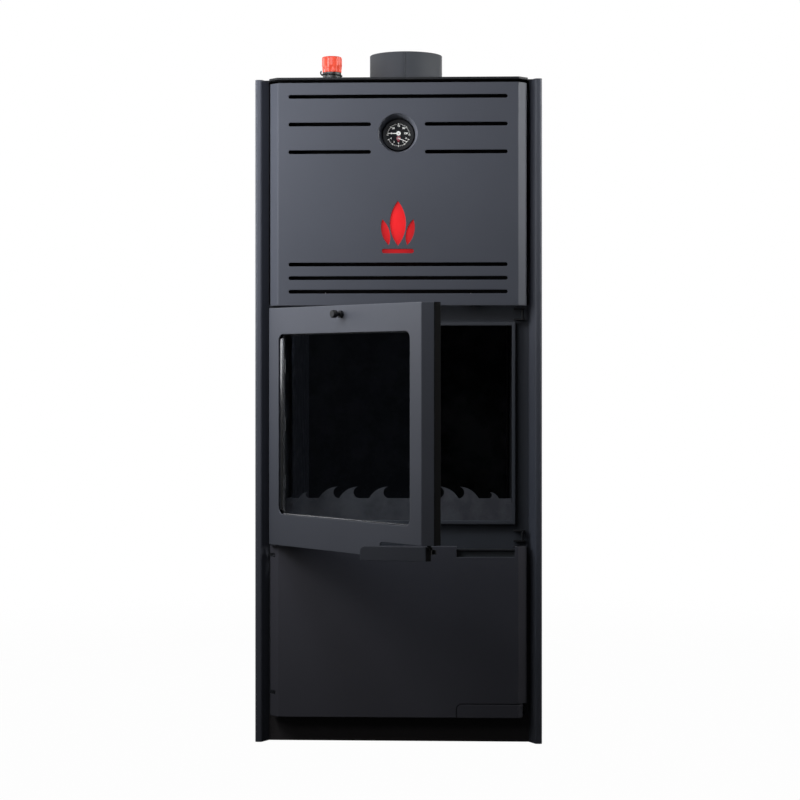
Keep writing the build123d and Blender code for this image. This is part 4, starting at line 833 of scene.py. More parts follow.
@dataclass
class Studio:
    """Camera, floor, lamps and the white surround. Lengths in metres, the lens in millimetres."""

    camera_place: Point = (0.1539, -4.111, 0.6954)
    camera_turn: float = 2.26
    lens: float = 91.3
    sensor: float = 36.0
    shift_y: float = -0.0337
    sight: float = 100.0
    ambient: float = 0.015
    front_glow: float = 0.02
    back_glow: float = 0.75
    floor_radius: float = 3.0

    def build(self) -> None:
        """Makes the whole studio."""
        self._camera()
        self._floor()
        self._surround()
        for lamp in LAMPS:
            lamp.build()
        bpy.context.scene.view_settings.view_transform = "Standard"

    def _camera(self) -> None:
        """Places the camera at the photograph's viewing angle."""
        data = bpy.data.cameras.new("camera")
        data.lens = self.lens
        data.sensor_width = self.sensor
        data.shift_y = self.shift_y
        data.clip_end = self.sight
        camera = linked("camera", data)
        camera.location = self.camera_place
        camera.rotation_euler = (math.radians(90.0), 0.0, math.radians(self.camera_turn))
        bpy.context.scene.camera = camera

    def _floor(self) -> None:
        """Lays a round floor under the stove."""
        work = bmesh.new()
        bmesh.ops.create_circle(work, cap_ends=True, segments=96, radius=self.floor_radius)
        floor = linked("studio_floor", mesh_from(work, "studio_floor"))
        floor.data.materials.append(PaleGround("matt_white_floor").material())

    def _surround(self) -> None:
        """Sets a white surround that gives little light, and is dim to a shine from the front."""
        world = bpy.data.worlds.new("surround")
        world.use_nodes = True
        world.node_tree.nodes.clear()
        add = partial(add_node, world.node_tree)
        way = add("ShaderNodeSeparateXYZ", {0: add("ShaderNodeTexCoord").outputs["Generated"]})
        behind = add(
            RANGE,
            {
                "Value": way.outputs["Y"],
                "From Min": 0.35,
                "From Max": 0.8,
                "To Min": self.front_glow,
                "To Max": self.back_glow,
            },
        )
        ray = add("ShaderNodeLightPath").outputs
        seen = add(MATH, {0: ray["Is Camera Ray"], 1: ray["Is Transmission Ray"]}, operation="MAXIMUM")
        shine = add(MATH, {0: ray["Is Glossy Ray"], 1: behind}, operation="MULTIPLY")
        bright = add(MATH, {0: seen, 1: shine}, operation="MAXIMUM")
        level = add(MATH, {0: bright, 1: self.ambient}, operation="MAXIMUM")
        # A shine never falls back on the ambient level, so the front stays dark in the paint.
        calm = add(MIX, {"Factor": ray["Is Glossy Ray"], 2: level, 3: shine}, data_type="FLOAT")
        glow = add("ShaderNodeBackground", {"Color": WHITE, "Strength": calm})
        add("ShaderNodeOutputWorld", {"Surface": glow})
        bpy.context.scene.world = world


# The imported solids


@dataclass
class PackedSolids:
    """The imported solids, each of which gets its own finish or that of its slot."""

    nodes: dict[str, Object]

    def dress(self) -> None:
        """Gives every node its finish."""
        for name, node in self.nodes.items():
            slot = Slot(node.material_slots[0].material.name.split(".")[0])
            finish = OWN_FINISHES.get(name, FINISHES[slot])
            node.material_slots[0].material = finish.material()
            LOG.info("%s is finished in %s", name, finish.name)


# Node recipes for what repeats


SOCKET_KINDS: dict[type, str] = {
    float: "NodeSocketFloat",
    int: "NodeSocketInt",
    Material: "NodeSocketMaterial",
    Object: "NodeSocketObject",
}


class Recipe:
    """A geometry node tree with named inputs, which ends in plain mesh with its material."""

    def __init__(self, name: str, inputs: dict[str, type]) -> None:
        """Starts the tree.

        Args:
            name: The tree's name.
            inputs: The kind of each named input. "Finish" is always there.
        """
        self.tree = bpy.data.node_groups.new(name, "GeometryNodeTree")
        self.add: Add = partial(add_node, self.tree)
        face = self.tree.interface
        face.new_socket("Geometry", in_out="OUTPUT", socket_type="NodeSocketGeometry")
        face.new_socket("Geometry", in_out="INPUT", socket_type="NodeSocketGeometry")
        for label, kind in (inputs | {"Finish": Material}).items():
            face.new_socket(label, in_out="INPUT", socket_type=SOCKET_KINDS[kind])
        self.given = self.add("NodeGroupInput").outputs

    def close(self, geometry: Source) -> Recipe:
        """Ends the tree with real geometry in its finish, and returns the recipe."""
        real = self.add("GeometryNodeRealizeInstances", {"Geometry": geometry})
        dressed = self.add("GeometryNodeSetMaterial", {"Geometry": real, "Material": self.given["Finish"]})
        self.add("NodeGroupOutput", {"Geometry": dressed})
        return self

    def grow(self, name: str, seed: Mesh, finish: Finish, values: dict[str, Any]) -> Object:
        """Runs the tree once.

        Args:
            name: The piece's name.
            seed: The mesh that the tree starts from.
            finish: The piece's finish.
            values: A value for each other named input.

        Returns:
            A plain mesh object.
        """
        source = linked(f"{name}.seed", seed)
        modifier = source.modifiers.new("recipe", "NODES")
        modifier.node_group = self.tree
        given = values | {"Finish": finish.material()}
        for item in self.tree.interface.items_tree:
            if item.in_out == "INPUT" and item.name in given:
                modifier[item.identifier] = given[item.name]
        return baked(source, name)


def in_metres(sizes: dict[str, float]) -> dict[str, float]:
    """Turns named sizes in millimetres to metres."""
    return {name: size * MM for name, size in sizes.items()}


def knit_recipe() -> Recipe:
    """Builds the recipe of a knitted rope: yarns wound both ways round a ring, over and under."""
    corner_steps, yarn_sides, core_sides, core_share = 12, 5, 10, 0.72
    weave_mean, weave_swing = 0.9, 0.09
    lengths = ("Width", "Height", "Corner", "Half Width", "Half Depth", "Yarn Radius", "Step")
    recipe = Recipe("knitted_rope", dict.fromkeys(lengths, float) | {"Pairs": int, "Turns": int})
    add, given = recipe.add, recipe.given
    outside = {0: given["Width"], 1: given["Height"]}
    frame = add("GeometryNodeCurvePrimitiveQuadrilateral", outside, mode="RECTANGLE")
    corners = {"Curve": frame, "Radius": given["Corner"], "Count": corner_steps}
    round_frame = add("GeometryNodeFilletCurve", corners, mode="POLY")
    ring = add("GeometryNodeResampleCurve", {"Curve": round_frame, "Length": given["Step"]}, mode="LENGTH")
    both = add(MATH, {0: given["Pairs"], 1: 2.0}, operation="MULTIPLY")
    yarns = add("GeometryNodeDuplicateElements", {"Geometry": ring, "Amount": both}, domain="SPLINE")
    index = yarns.outputs["Duplicate Index"]
    odd = add(MATH, {0: index, 1: 2.0}, operation="MODULO")
    hand = add(MATH, {0: odd, 1: -2.0, 2: 1.0}, operation="MULTIPLY_ADD")
    half = add(MATH, {0: index, 1: 0.5}, operation="MULTIPLY")
    number = add(MATH, {0: half}, operation="FLOOR")
    share = add(MATH, {0: number, 1: given["Pairs"]}, operation="DIVIDE")
    way = add("GeometryNodeSplineParameter").outputs["Factor"]
    along = add(MATH, {0: way, 1: given["Turns"]}, operation="MULTIPLY")
    turned = add(MATH, {0: along, 1: hand, 2: share}, operation="MULTIPLY_ADD")
    angle = add(MATH, {0: turned, 1: 2 * math.pi}, operation="MULTIPLY")
    crossing = add(MATH, {0: angle, 1: given["Pairs"]}, operation="MULTIPLY")
    weave = add(MATH, {0: crossing}, operation="COSINE")
    over = add(MATH, {0: weave, 1: hand}, operation="MULTIPLY")
    lift = add(MATH, {0: over, 1: weave_swing, 2: weave_mean}, operation="MULTIPLY_ADD")
    reach = []
    for size, turn in (("Half Width", "COSINE"), ("Half Depth", "SINE")):
        inner = add(MATH, {0: given[size], 1: given["Yarn Radius"]}, operation="SUBTRACT")
        wave = add(MATH, {0: angle}, operation=turn)
        grown = add(MATH, {0: inner, 1: lift}, operation="MULTIPLY")
        reach.append(add(MATH, {0: grown, 1: wave}, operation="MULTIPLY"))
    sideways = add(VECTOR, {0: add("GeometryNodeInputTangent"), 1: UP}, operation="CROSS_PRODUCT")
    across = add(VECTOR, {0: sideways, "Scale": reach[0]}, operation="SCALE")
    shift = add(VECTOR, {0: across, 1: add(COMBINE, {"Z": reach[1]})}, operation="ADD")
    wound = add("GeometryNodeSetPosition", {"Geometry": yarns, "Offset": shift})
    filling = add(MATH, {0: given["Half Depth"], 1: core_share}, operation="MULTIPLY")
    solid = []
    for curve, radius, sides in ((wound, given["Yarn Radius"], yarn_sides), (ring, filling, core_sides)):
        circle = {"Resolution": sides, "Radius": radius}
        profile = add("GeometryNodeCurvePrimitiveCircle", circle, mode="RADIUS")
        solid.append(add("GeometryNodeCurveToMesh", {"Curve": curve, "Profile Curve": profile}))
    rope = add("GeometryNodeJoinGeometry", {0: solid[0]})
    recipe.tree.links.new(solid[1].outputs[0], rope.inputs[0])
    return recipe.close(add("GeometryNodeSetShadeSmooth", {"Geometry": rope}))


def weld_recipe() -> Recipe:
    """Builds the recipe of a weld bead: ripples that overlap along the seed's edges."""
    smallest, largest = 1.25, 1.75
    recipe = Recipe("weld_bead", {"Pitch": float, "Half Width": float, "Height": float, "Seed": int})
    add, given = recipe.add, recipe.given
    line = add("GeometryNodeMeshToCurve", {0: given["Geometry"]})
    steps = add("GeometryNodeResampleCurve", {"Curve": line, "Length": given["Pitch"]}, mode="LENGTH")
    ripple = add("GeometryNodeMeshIcoSphere", {"Radius": 1.0, "Subdivisions": 2})
    tangent = add("GeometryNodeInputTangent")
    heading = add("FunctionNodeAlignRotationToVector", {"Vector": tangent}, axis="X")
    size = add(COMBINE, {"X": given["Pitch"], "Y": given["Half Width"], "Z": given["Height"]})
    chance = {2: smallest, 3: largest, "Seed": given["Seed"]}
    hand = add("FunctionNodeRandomValue", chance, data_type="FLOAT")
    uneven = add(VECTOR, {0: size, "Scale": hand}, operation="SCALE")
    spots = {"Points": steps, "Instance": ripple, "Rotation": heading, "Scale": uneven}
    real = add("GeometryNodeRealizeInstances", {"Geometry": add("GeometryNodeInstanceOnPoints", spots)})
    return recipe.close(add("GeometryNodeSetShadeSmooth", {"Geometry": real}))


def fastener_recipe() -> Recipe:
    """Builds the recipe that sets one fastener on each seed point, turned at random about its axis."""
    recipe = Recipe("fasteners", {"Head": Object, "Seed": int})
    add, given = recipe.add, recipe.given
    facing = add("GeometryNodeInputNamedAttribute", {"Name": "facing"}, data_type="FLOAT_VECTOR")
    spin = add("FunctionNodeRandomValue", {3: 2 * math.pi, "Seed": given["Seed"]}, data_type="FLOAT")
    spun = add("FunctionNodeAxisAngleToRotation", {"Axis": UP, "Angle": spin})
    aligned = add("FunctionNodeAlignRotationToVector", {"Vector": facing}, axis="Z")
    both = add("FunctionNodeRotateRotation", {0: aligned, 1: spun}, rotation_space="LOCAL")
    head = add("GeometryNodeObjectInfo", {"Object": given["Head"]}).outputs["Geometry"]
    spots = {"Points": given["Geometry"], "Instance": head, "Rotation": both}
    return recipe.close(add("GeometryNodeInstanceOnPoints", spots))


def tick_recipe() -> Recipe:
    """Builds the recipe of a dial's scale: ticks along an arc, every so-many of them long."""
    long_share = 1.8
    inputs = {"Radius": float, "Start": float, "Sweep": float, "Count": int, "Long Every": int}
    recipe = Recipe("dial_ticks", inputs | {"Length": float, "Width": float})
    add, given = recipe.add, recipe.given
    points = add("GeometryNodeMeshLine", {"Count": given["Count"]})
    index = add("GeometryNodeInputIndex")
    last = add(MATH, {0: given["Count"], 1: 1.0}, operation="SUBTRACT")
    share = add(MATH, {0: index, 1: last}, operation="DIVIDE")
    angle = add(MATH, {0: share, 1: given["Sweep"], 2: given["Start"]}, operation="MULTIPLY_ADD")
    parts = {}
    for axis, turn in (("X", "COSINE"), ("Y", "SINE")):
        wave = add(MATH, {0: angle}, operation=turn)
        parts[axis] = add(MATH, {0: wave, 1: given["Radius"]}, operation="MULTIPLY")
    arc = add("GeometryNodeSetPosition", {"Geometry": points, "Position": add(COMBINE, parts)})
    rest = add(MATH, {0: index, 1: given["Long Every"]}, operation="MODULO")
    long = add(MATH, {0: rest, 1: 0.5}, operation="LESS_THAN")
    size = add(RANGE, {"Value": long, "To Min": 1.0, "To Max": long_share})
    sides = {"Vertices X": 2, "Vertices Y": 2, "Size X": given["Length"], "Size Y": given["Width"]}
    tick = add("GeometryNodeMeshGrid", sides)
    turned = add(COMBINE, {"Z": angle})
    spots = {"Points": arc, "Instance": tick, "Rotation": turned, "Scale": size}
    return recipe.close(add("GeometryNodeInstanceOnPoints", spots))


# Fine pieces of the sub-assemblies


@dataclass
class RopeSeal:
    """A door's rope seal, knitted, in its channel. Sizes in millimetres, in the closed door's frame."""

    node: str
    body: Body
    half_width: float
    low: float
    high: float
    corner: float = 16.0
    centre_y: float = -294.65
    rope_half_width: float = 4.7
    rope_half_depth: float = 4.3
    yarn_radius: float = 1.15
    step: float = 2.6
    pairs: int = 7
    lay: float = 30.0
    open_angle: float = 0.0

    def build(self, recipe: Recipe) -> Object:
        """Knits the ring and sets it in the door."""
        width, height = 2 * self.half_width, self.high - self.low
        around = 2 * (width + height) - (8 - 2 * math.pi) * self.corner
        sizes = {
            "Width": width,
            "Height": height,
            "Corner": self.corner,
            "Half Width": self.rope_half_width,
            "Half Depth": self.rope_half_depth,
            "Yarn Radius": self.yarn_radius,
            "Step": self.step,
        }
        values = in_metres(sizes) | {"Pairs": self.pairs, "Turns": round(around / self.lay)}
        seed = bpy.data.meshes.new(self.node)
        piece = recipe.grow(f"{self.node}_knitted", seed, FINISHES[Slot.ROPE], values)
        placed = upright(self.centre_y, (self.low + self.high) / 2)
        piece.data.transform(door_swing(self.open_angle) @ placed)
        return settle(piece, self.body, Slot.ROPE, self.node)


@dataclass
class WindowStrips:
    """The polished strips that hold the glass's lower edge and its edge at the hinge.

    Corners are in millimetres, in the shut door's frame: lowest, then highest.
    """

    bars: tuple[tuple[Point, Point], ...] = (
        ((-186.0, -309.2, 432.2), (186.0, -304.6, 433.6)),
        ((-194.6, -309.7, 440.0), (-184.0, -308.3, 760.0)),
    )
    rounding: float = 0.6

    def build(self) -> Object:
        """Rolls the strips and sets them on the window's edges."""
        work = bmesh.new()
        for low, high in self.bars:
            place = Matrix.Translation([(a + b) / 2 * MM for a, b in zip(low, high)])
            add_block(work, [(b - a) * MM for a, b in zip(low, high)], place)
        bmesh.ops.bevel(
            work, geom=work.edges[:], offset=self.rounding * MM, segments=4, affect="EDGES", profile=0.5
        )
        mesh = recalculated(mesh_from(work, "window_strips"))
        shade_smooth(mesh)
        mesh.transform(door_swing(-FIRE_DOOR_ANGLE))
        return settle_mesh("window_strips", mesh, Body.FIRE_DOOR, Slot.BARE_STEEL, finish=STRIP_STEEL)


@dataclass
class Welds:
    """The boiler's visible fillet welds. Sizes in millimetres; a lip is its half width, foot and head."""

    pitch: float = 2.0
    half_width: float = 2.2
    height: float = 1.3
    front_y: float = -278.0
    fire_lip: Point = (220.0, 411.0, 791.0)
    ash_lip: Point = (220.0, 78.0, 344.0)
    lip_corner: float = 6.0
    chamber_x: float = 212.0
    chamber_y: float = 203.0
    chamber_levels: Flat = (408.0, 1037.0)
    flue_radius: float = 75.0
    flue_centre_y: float = 107.0
    flue_levels: Flat = (1256.0, 1349.0)

    def _frame(self, lip: Point) -> list[Point]:
        """Gives the points of a lip's rounded frame on the front plate."""
        half, low, high = lip[0] - self.lip_corner, lip[1] + self.lip_corner, lip[2] - self.lip_corner
        points = []
        for turn, (x, z) in enumerate(((half, high), (-half, high), (-half, low), (half, low))):
            for step in range(5):
                angle = math.radians(90.0 * turn + 22.5 * step)
                side, level = on_circle(self.lip_corner, angle, x, z)
                points.append((side, self.front_y, level))
        return points

    def build(self, recipe: Recipe) -> None:
        """Lays every bead."""
        corners = [
            [(x, self.chamber_y, z) for z in self.chamber_levels] for x in (-self.chamber_x, self.chamber_x)
        ]
        seam = [(0.0, self.flue_centre_y - self.flue_radius, z) for z in self.flue_levels]
        turns = [math.radians(5 * i) for i in range(72)]
        foot = [
            (*on_circle(self.flue_radius + 1, turn, 0.0, self.flue_centre_y), self.flue_levels[0])
            for turn in turns
        ]
        beads = (
            ("weld_round_fire_lip", [self._frame(self.fire_lip)], True, 1.0, FRONT_PAINT),
            ("weld_round_ash_lip", [self._frame(self.ash_lip)], True, 1.0, FRONT_PAINT),
            ("weld_in_chamber_corners", corners, False, 1.2, PLATE_PAINT),
            ("weld_flue_seam", [seam], False, 0.55, FLUE_PAINT),
            ("weld_flue_foot", [foot], True, 0.8, FLUE_PAINT),
        )
        for seed, (name, runs, closed, share, finish) in enumerate(beads):
            size = {"Pitch": self.pitch, "Half Width": self.half_width * share, "Height": self.height * share}
            values = in_metres(size) | {"Seed": seed}
            piece = recipe.grow(name, edge_mesh(name, runs, closed), finish, values)
            settle(piece, Body.STOVE, Slot.BOILER_PLATE)


@dataclass
class CasingScrews:
    """Pan-head screws with a cross recess. Places and sizes in millimetres."""

    head_radius: float = 4.6
    head_height: float = 2.6
    # Shares of the head's radius and height, from its seat to its crown
    head_shape: tuple[Flat, ...] = (
        (0.97, 0.0), (1.0, 0.12), (1.0, 0.42), (0.93, 0.68), (0.78, 0.87), (0.5, 0.97), (0.0, 1.0)
    )
    steps: int = 24
    shank_radius: float = 2.1
    shank_length: float = 10.0
    thread_pitch: float = 0.8
    thread_end: float = 25.0
    recess_width: float = 1.1
    recess_length: float = 5.0
    recess_depth: float = 1.7
    seed: int = 4
    top: tuple[Point, ...] = ((-261, -235, 1250), (261, -235, 1250), (-261, 265, 1250), (261, 265, 1250))
    under: tuple[Point, ...] = ((-137, -297, 822), (137, -297, 822))
    back_x: float = 261.5
    back_y: float = 300.0
    back_levels: tuple[float, ...] = (110.0, 473.3, 836.7, 1200.0)

    def _head(self) -> Object:
        """Makes one screw on Z, with its seat at the origin."""
        profile = [
            (0.0, -self.shank_length),
            (self.shank_radius * 0.6, -self.shank_length),
            (self.shank_radius, -self.shank_length * 0.8),
            (self.shank_radius, 0.0),
        ]
        profile += [(self.head_radius * out, self.head_height * up) for out, up in self.head_shape]
        screw = linked("screw", lathe(profile, self.steps))
        work = bmesh.new()
        for turn in (0.0, 90.0):
            size = (self.recess_length * MM, self.recess_width * MM, 2 * self.recess_depth * MM)
            crown = Matrix.Translation((0.0, 0.0, self.head_height * MM))
            add_block(work, size, crown @ Matrix.Rotation(math.radians(turn), 4, "Z"))
        recess = linked("recess", mesh_from(work, "recess"))
        cut = screw.modifiers.new("cut", "BOOLEAN")
        cut.object = recess
        cut.operation = "DIFFERENCE"
        cut.use_self = True
        made = baked(screw, "screw_head")
        bpy.data.objects.remove(recess)
        shade_smooth(made.data)
        return made

    def _thread(self) -> Object:
        """Makes the threaded end of a long screw on Z, below its shank."""
        profile = [(0.0, -self.thread_end)]
        turns = int((self.thread_end - self.shank_length) / self.thread_pitch)
        for turn in range(turns, 0, -1):
            level = -self.shank_length - turn * self.thread_pitch
            share = min(1.0, 0.45 + (turns - turn) * 0.2)
            profile.append((self.shank_radius * 0.8 * share, level))
            profile.append((self.shank_radius * share, level + self.thread_pitch / 2))
        profile += [(self.shank_radius, -self.shank_length), (0.0, -self.shank_length)]
        thread = linked("thread", lathe(profile, self.steps))
        shade_smooth(thread.data)
        return thread

    def _set(
        self,
        recipe: Recipe,
        name: str,
        one: Object,
        places: Sequence[tuple[Point, Point]],
        finish: Finish,
    ) -> Object:
        """Sets one shape at every place, each turned to its own facing."""
        mesh = bpy.data.meshes.new("screw_places")
        mesh.from_pydata([[value * MM for value in spot] for spot, _ in places], [], [])
        facing = mesh.attributes.new("facing", "FLOAT_VECTOR", "POINT")
        for item, (_, way) in zip(facing.data, places):
            item.vector = way
        piece = recipe.grow(name, mesh, finish, {"Head": one, "Seed": self.seed})
        bpy.data.objects.remove(one)
        return piece

    def build(self, recipe: Recipe) -> None:
        """Sets every screw of the casing."""
        under = [(spot, (0.0, 0.0, -1.0)) for spot in self.under]
        back = [(side * self.back_x, self.back_y, level) for side in (-1, 1) for level in self.back_levels]
        places = [(spot, UP) for spot in self.top] + under + [(spot, (0.0, 1.0, 0.0)) for spot in back]
        heads = self._set(recipe, "casing_screw_heads", self._head(), places, FINISHES[Slot.ZINC_SCREW])
        settle(heads, Body.STOVE, Slot.ZINC_SCREW, "casing_screws")
        threads = self._set(recipe, "panel_screw_threads", self._thread(), under, BRIGHT_THREAD)
        settle(threads, Body.STOVE, Slot.ZINC_SCREW)


@dataclass(frozen=True)
class Scale:
    """One printed scale of the gauge. Angles in degrees, sizes in millimetres."""

    name: str
    start: float
    sweep: float
    count: int
    long_every: int
    figures: tuple[str, ...]
    figure_radius: float
    figure_level: float
    figure_size: float


@dataclass
class DialPrint:
    """The gauge's printed scales, plain figures and set mark. Sizes in millimetres."""

    face_y: float = -282.04
    centre_z: float = 1145.0
    tick_radius: float = 20.6
    tick_length: float = 1.9
    tick_width: float = 0.6
    print_depth: float = 0.02
    print_swell: float = 0.16
    set_hub_z: float = 1138.8
    set_rings: Flat = (2.9, 3.9)
    set_drop: tuple[Flat, ...] = ((-2.4, -4.6), (-0.9, -8.0), (0.0, -9.3), (0.9, -8.0), (2.4, -4.6))
    scales: tuple[Scale, ...] = (
        Scale("heat_scale", 180.0, -180.0, 25, 6, ("0", "30", "60", "90", "120"), 13.6, 1148.0, 4.7),
        Scale("pressure_scale", -24.0, -132.0, 21, 5, ("0", "1", "2", "3", "4"), 15.6, 1145.0, 4.7 * 0.85),
    )

    def _ticks(self, recipe: Recipe, scale: Scale) -> None:
        """Prints one scale's ticks."""
        sizes = {"Radius": self.tick_radius, "Length": self.tick_length, "Width": self.tick_width}
        turns = {"Start": math.radians(scale.start), "Sweep": math.radians(scale.sweep)}
        values = in_metres(sizes) | turns | {"Count": scale.count, "Long Every": scale.long_every}
        seed = bpy.data.meshes.new(scale.name)
        piece = recipe.grow(scale.name, seed, FINISHES[Slot.POINTER_WHITE], values)
        piece.data.transform(upright(self.face_y, self.centre_z))
        settle(piece, Body.STOVE, Slot.POINTER_WHITE)

    def _figure(self, work: BMesh, text: str, turn: float, scale: Scale) -> None:
        """Adds one figure of a scale to a work mesh."""
        curve = bpy.data.curves.new("figure", "FONT")
        curve.body = text
        curve.size = scale.figure_size * MM
        curve.align_x = "CENTER"
        curve.align_y = "CENTER"
        curve.extrude = self.print_depth * MM
        curve.offset = self.print_swell * MM
        made = baked(linked("figure.text", curve), "figure")
        x, y = on_circle(scale.figure_radius, turn)
        made.data.transform(Matrix.Translation((x * MM, y * MM, 0.0)))
        made.data.transform(upright(self.face_y, scale.figure_level))
        work.from_mesh(made.data)
        bpy.data.objects.remove(made)

    def _print_figures(self) -> None:
        """Prints the figures of both scales."""
        work = bmesh.new()
        for scale in self.scales:
            last = len(scale.figures) - 1
            for i, text in enumerate(scale.figures):
                self._figure(work, text, math.radians(scale.start + scale.sweep * i / last), scale)
        settle_mesh("dial_figures", mesh_from(work, "dial_figures"), Body.STOVE, Slot.POINTER_WHITE)

    def _set_mark(self) -> None:
        """Makes the red set mark: a ring round the pressure spindle with a drop hanging from it."""
        place = upright(self.face_y, self.set_hub_z)
        arc = [on_circle(self.set_rings[1], math.radians(-30.0 + 10.0 * step)) for step in range(25)]
        work = slab([*arc, *self.set_drop], self.print_depth)
        mesh = recalculated(mesh_from(work, "pressure_set_mark"))
        mesh.transform(place)
        settle_mesh("pressure_set_mark", mesh, Body.STOVE, Slot.ACCENT_RED, finish=SET_RED)
        work = bmesh.new()
        turns, level = round_turns(40), 2 * self.print_depth * MM
        inner, outer = (
            [work.verts.new((*on_circle(radius * MM, turn), level)) for turn in turns]
            for radius in self.set_rings
        )
        bridge(work, outer, inner)
        ring = mesh_from(work, "pressure_set_ring")
        ring.transform(place)
        settle_mesh("pressure_set_ring", ring, Body.STOVE, Slot.ACCENT_RED, finish=SET_PINK)

    def build(self, recipe: Recipe) -> None:
        """Prints the whole dial."""
        for scale in self.scales:
            self._ticks(recipe, scale)
        self._print_figures()
        self._set_mark()


@dataclass
class Pointer:
    """One of the gauge's pointers: a hub with a low dome and a tapered needle. Sizes in millimetres."""

    body: Body
    hub_z: float
    far_y: float
    hub_radius: float
    reach: float
    turn: float
    root: float = 1.5
    tip: float = 0.9
    thickness: float = 0.5
    dome: float = 0.4
    steps: int = 40

    def build(self) -> Object:
        """Stamps the pointer and stands it on its spindle."""
        first = math.asin(self.root / 2 / self.hub_radius)
        turns = [first + (2 * math.pi - 2 * first) * i / self.steps for i in range(self.steps + 1)]
        outline = [on_circle(self.hub_radius, turn) for turn in turns]
        outline += [(self.reach, -self.tip / 2), (self.reach, self.tip / 2)]
        work = slab(outline, self.thickness)
        r, low, high = self.hub_radius, self.thickness, self.thickness + self.dome
        crown = [(0.0, low), (r, low), (r * 0.92, low + self.dome * 0.5), (r * 0.6, high * 0.97), (0.0, high)]
        work.from_mesh(lathe(crown, self.steps))
        mesh = recalculated(mesh_from(work, self.body.value))
        shade_smooth(mesh)
        spin = Matrix.Rotation(math.radians(self.turn), 4, "Z")
        mesh.transform(upright(self.far_y, self.hub_z) @ spin)
        name = self.body.value
        return settle_mesh(f"{name}_stamped", mesh, self.body, Slot.POINTER_WHITE, name)


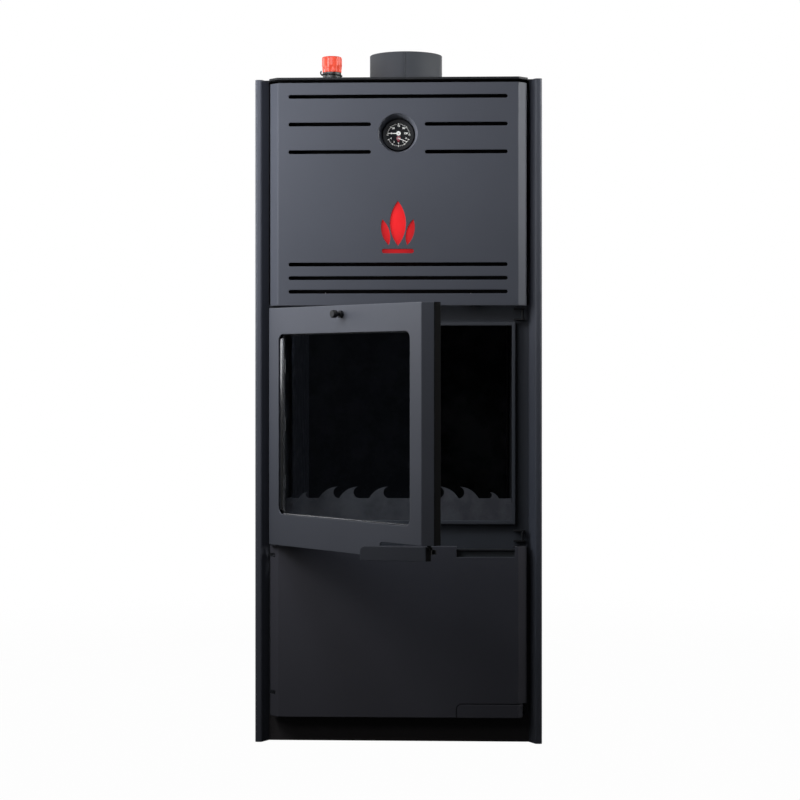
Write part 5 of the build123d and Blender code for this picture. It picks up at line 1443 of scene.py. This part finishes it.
@dataclass
class SafetyValve:
    """The safety valve's cap and its retaining wire. Sizes in millimetres."""

    centre: Flat = (-145.0, -20.0)
    low: float = 1302.0
    high: float = 1333.4
    radius: float = 20.4
    rim_taper: float = 0.8
    flutes: int = 8
    flute_depth: float = 2.7
    flute_rise: float = 13.0
    bore: float = 12.5
    wall: float = 2.5
    around: int = 180
    # Millimetres below the crown, and shares of the radius there
    shoulder: tuple[Flat, ...] = ((2.0, 0.996), (1.0, 0.975), (0.3, 0.93), (0.0, 0.86))
    wire_radius: float = 1.25
    wire_level: float = 1296.5
    wire_tilt: float = 1.2
    # Half the wire's loop: outwards and sideways from the valve's axis, and level
    wire_loop: tuple[Point, ...] = (
        (20.4, 2.2, 1297.5), (22.6, 2.4, 1299.5), (22.9, 2.2, 1302.5), (21.9, 0.8, 1305.0)
    )

    def _cap_radius(self, angle: float, height: float) -> float:
        """Gives the cap's outer radius at an angle and a height over its rim."""
        fade = max(0.0, 1.0 - height / self.flute_rise)
        wave = (0.5 + 0.5 * math.cos(self.flutes * angle)) ** 2
        scoop = self.flute_depth * wave * math.sin(math.pi / 2 * min(1.0, 1.6 * fade))
        return self.radius - self.rim_taper * fade - scoop

    def _at(self, radius: float, angle: float, level: float) -> Point:
        """Gives a point round the valve's axis, in metres."""
        x, y = on_circle(radius, angle, *self.centre)
        return (x * MM, y * MM, level * MM)

    def build_cap(self) -> Object:
        """Moulds the cap: smooth above, with scallops for the fingers round its rim."""
        tall = self.high - self.low
        turns = round_turns(self.around)
        outside = [(0.0, 0.985), (0.4, 1.0)] + [(tall * i / 24, 1.0) for i in range(1, 22)]
        outside += [(tall - below, share) for below, share in self.shoulder]
        work = bmesh.new()
        new = work.verts.new
        rings = [
            [new(self._at(self._cap_radius(turn, height) * share, turn, self.low + height)) for turn in turns]
            for height, share in outside
        ]
        crown = new(self._at(0.0, 0.0, self.high))
        roof = new(self._at(0.0, 0.0, self.high - self.wall))
        ceiling, mouth = (
            [new(self._at(self.bore, turn, self.low + height)) for turn in turns]
            for height in (tall - self.wall, 0.0)
        )
        walls = [*zip(rings, rings[1:]), (rings[-1], [crown])]
        walls += [(ceiling, [roof]), (mouth, ceiling), (rings[0], mouth)]
        for low, high in walls:
            bridge(work, low, high)
        mesh = recalculated(mesh_from(work, "valve_cap_moulded"))
        shade_smooth(mesh, 50.0)
        return settle_mesh("valve_cap_moulded", mesh, Body.CAP, Slot.CAP_RED, "valve_cap")

    def build_wire(self) -> Object:
        """Bends the black wire that lies round the collar and stands up in a loop at the left."""
        curve = bpy.data.curves.new("wire", "CURVE")
        curve.dimensions = "3D"
        curve.bevel_depth = self.wire_radius * MM
        curve.bevel_resolution = 3
        curve.use_fill_caps = True
        curve.resolution_u = 6
        x, y = self.centre
        collar = [
            (*on_circle(self.radius, turn, x, y), self.wire_level - self.wire_tilt * math.cos(turn))
            for turn in round_turns(16)
        ]
        loop = [(x - out, y - side, level) for out, side, level in self.wire_loop]
        loop += [(x - out, y + side, level) for out, side, level in reversed(self.wire_loop)]
        for points in (collar, loop):
            spline = curve.splines.new("NURBS")
            spline.points.add(len(points) - 1)
            for item, point in zip(spline.points, points):
                item.co = (*(value * MM for value in point), 1.0)
            spline.use_cyclic_u = True
            spline.order_u = 3
        wire = baked(linked("wire.curve", curve), "valve_cap_wire")
        wire.data.materials.append(STRAP_BLACK.material())
        wire.data.shade_smooth()
        return settle(wire, Body.STOVE, Slot.GAUGE_BLACK)

    def build(self) -> None:
        """Makes the cap and the wire."""
        self.build_cap()
        self.build_wire()


def main() -> None:
    """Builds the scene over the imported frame."""
    logging.basicConfig(level=logging.INFO, format="%(name)s: %(message)s")
    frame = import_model()
    Studio().build()
    PackedSolids(frame["nodes"]).dress()
    knit = knit_recipe()
    fire_seal = RopeSeal("fire_door_seal", Body.FIRE_DOOR, 217.0, 414.0, 788.0, open_angle=-FIRE_DOOR_ANGLE)
    fire_seal.build(knit)
    RopeSeal("ash_door_seal", Body.ASH_DOOR, 217.0, 81.0, 341.0).build(knit)
    WindowStrips().build()
    Welds().build(weld_recipe())
    CasingScrews().build(fastener_recipe())
    DialPrint().build(tick_recipe())
    Pointer(Body.HEAT_POINTER, 1148.0, -282.7, 4.2, 19.4, 180.0, root=1.8).build()
    Pointer(Body.PRESSURE_POINTER, 1138.8, -282.1, 1.5, 17.6, -23.0, root=1.2, tip=0.8, dome=0.2).build()
    SafetyValve().build()


if __name__ == "__main__":
    main()
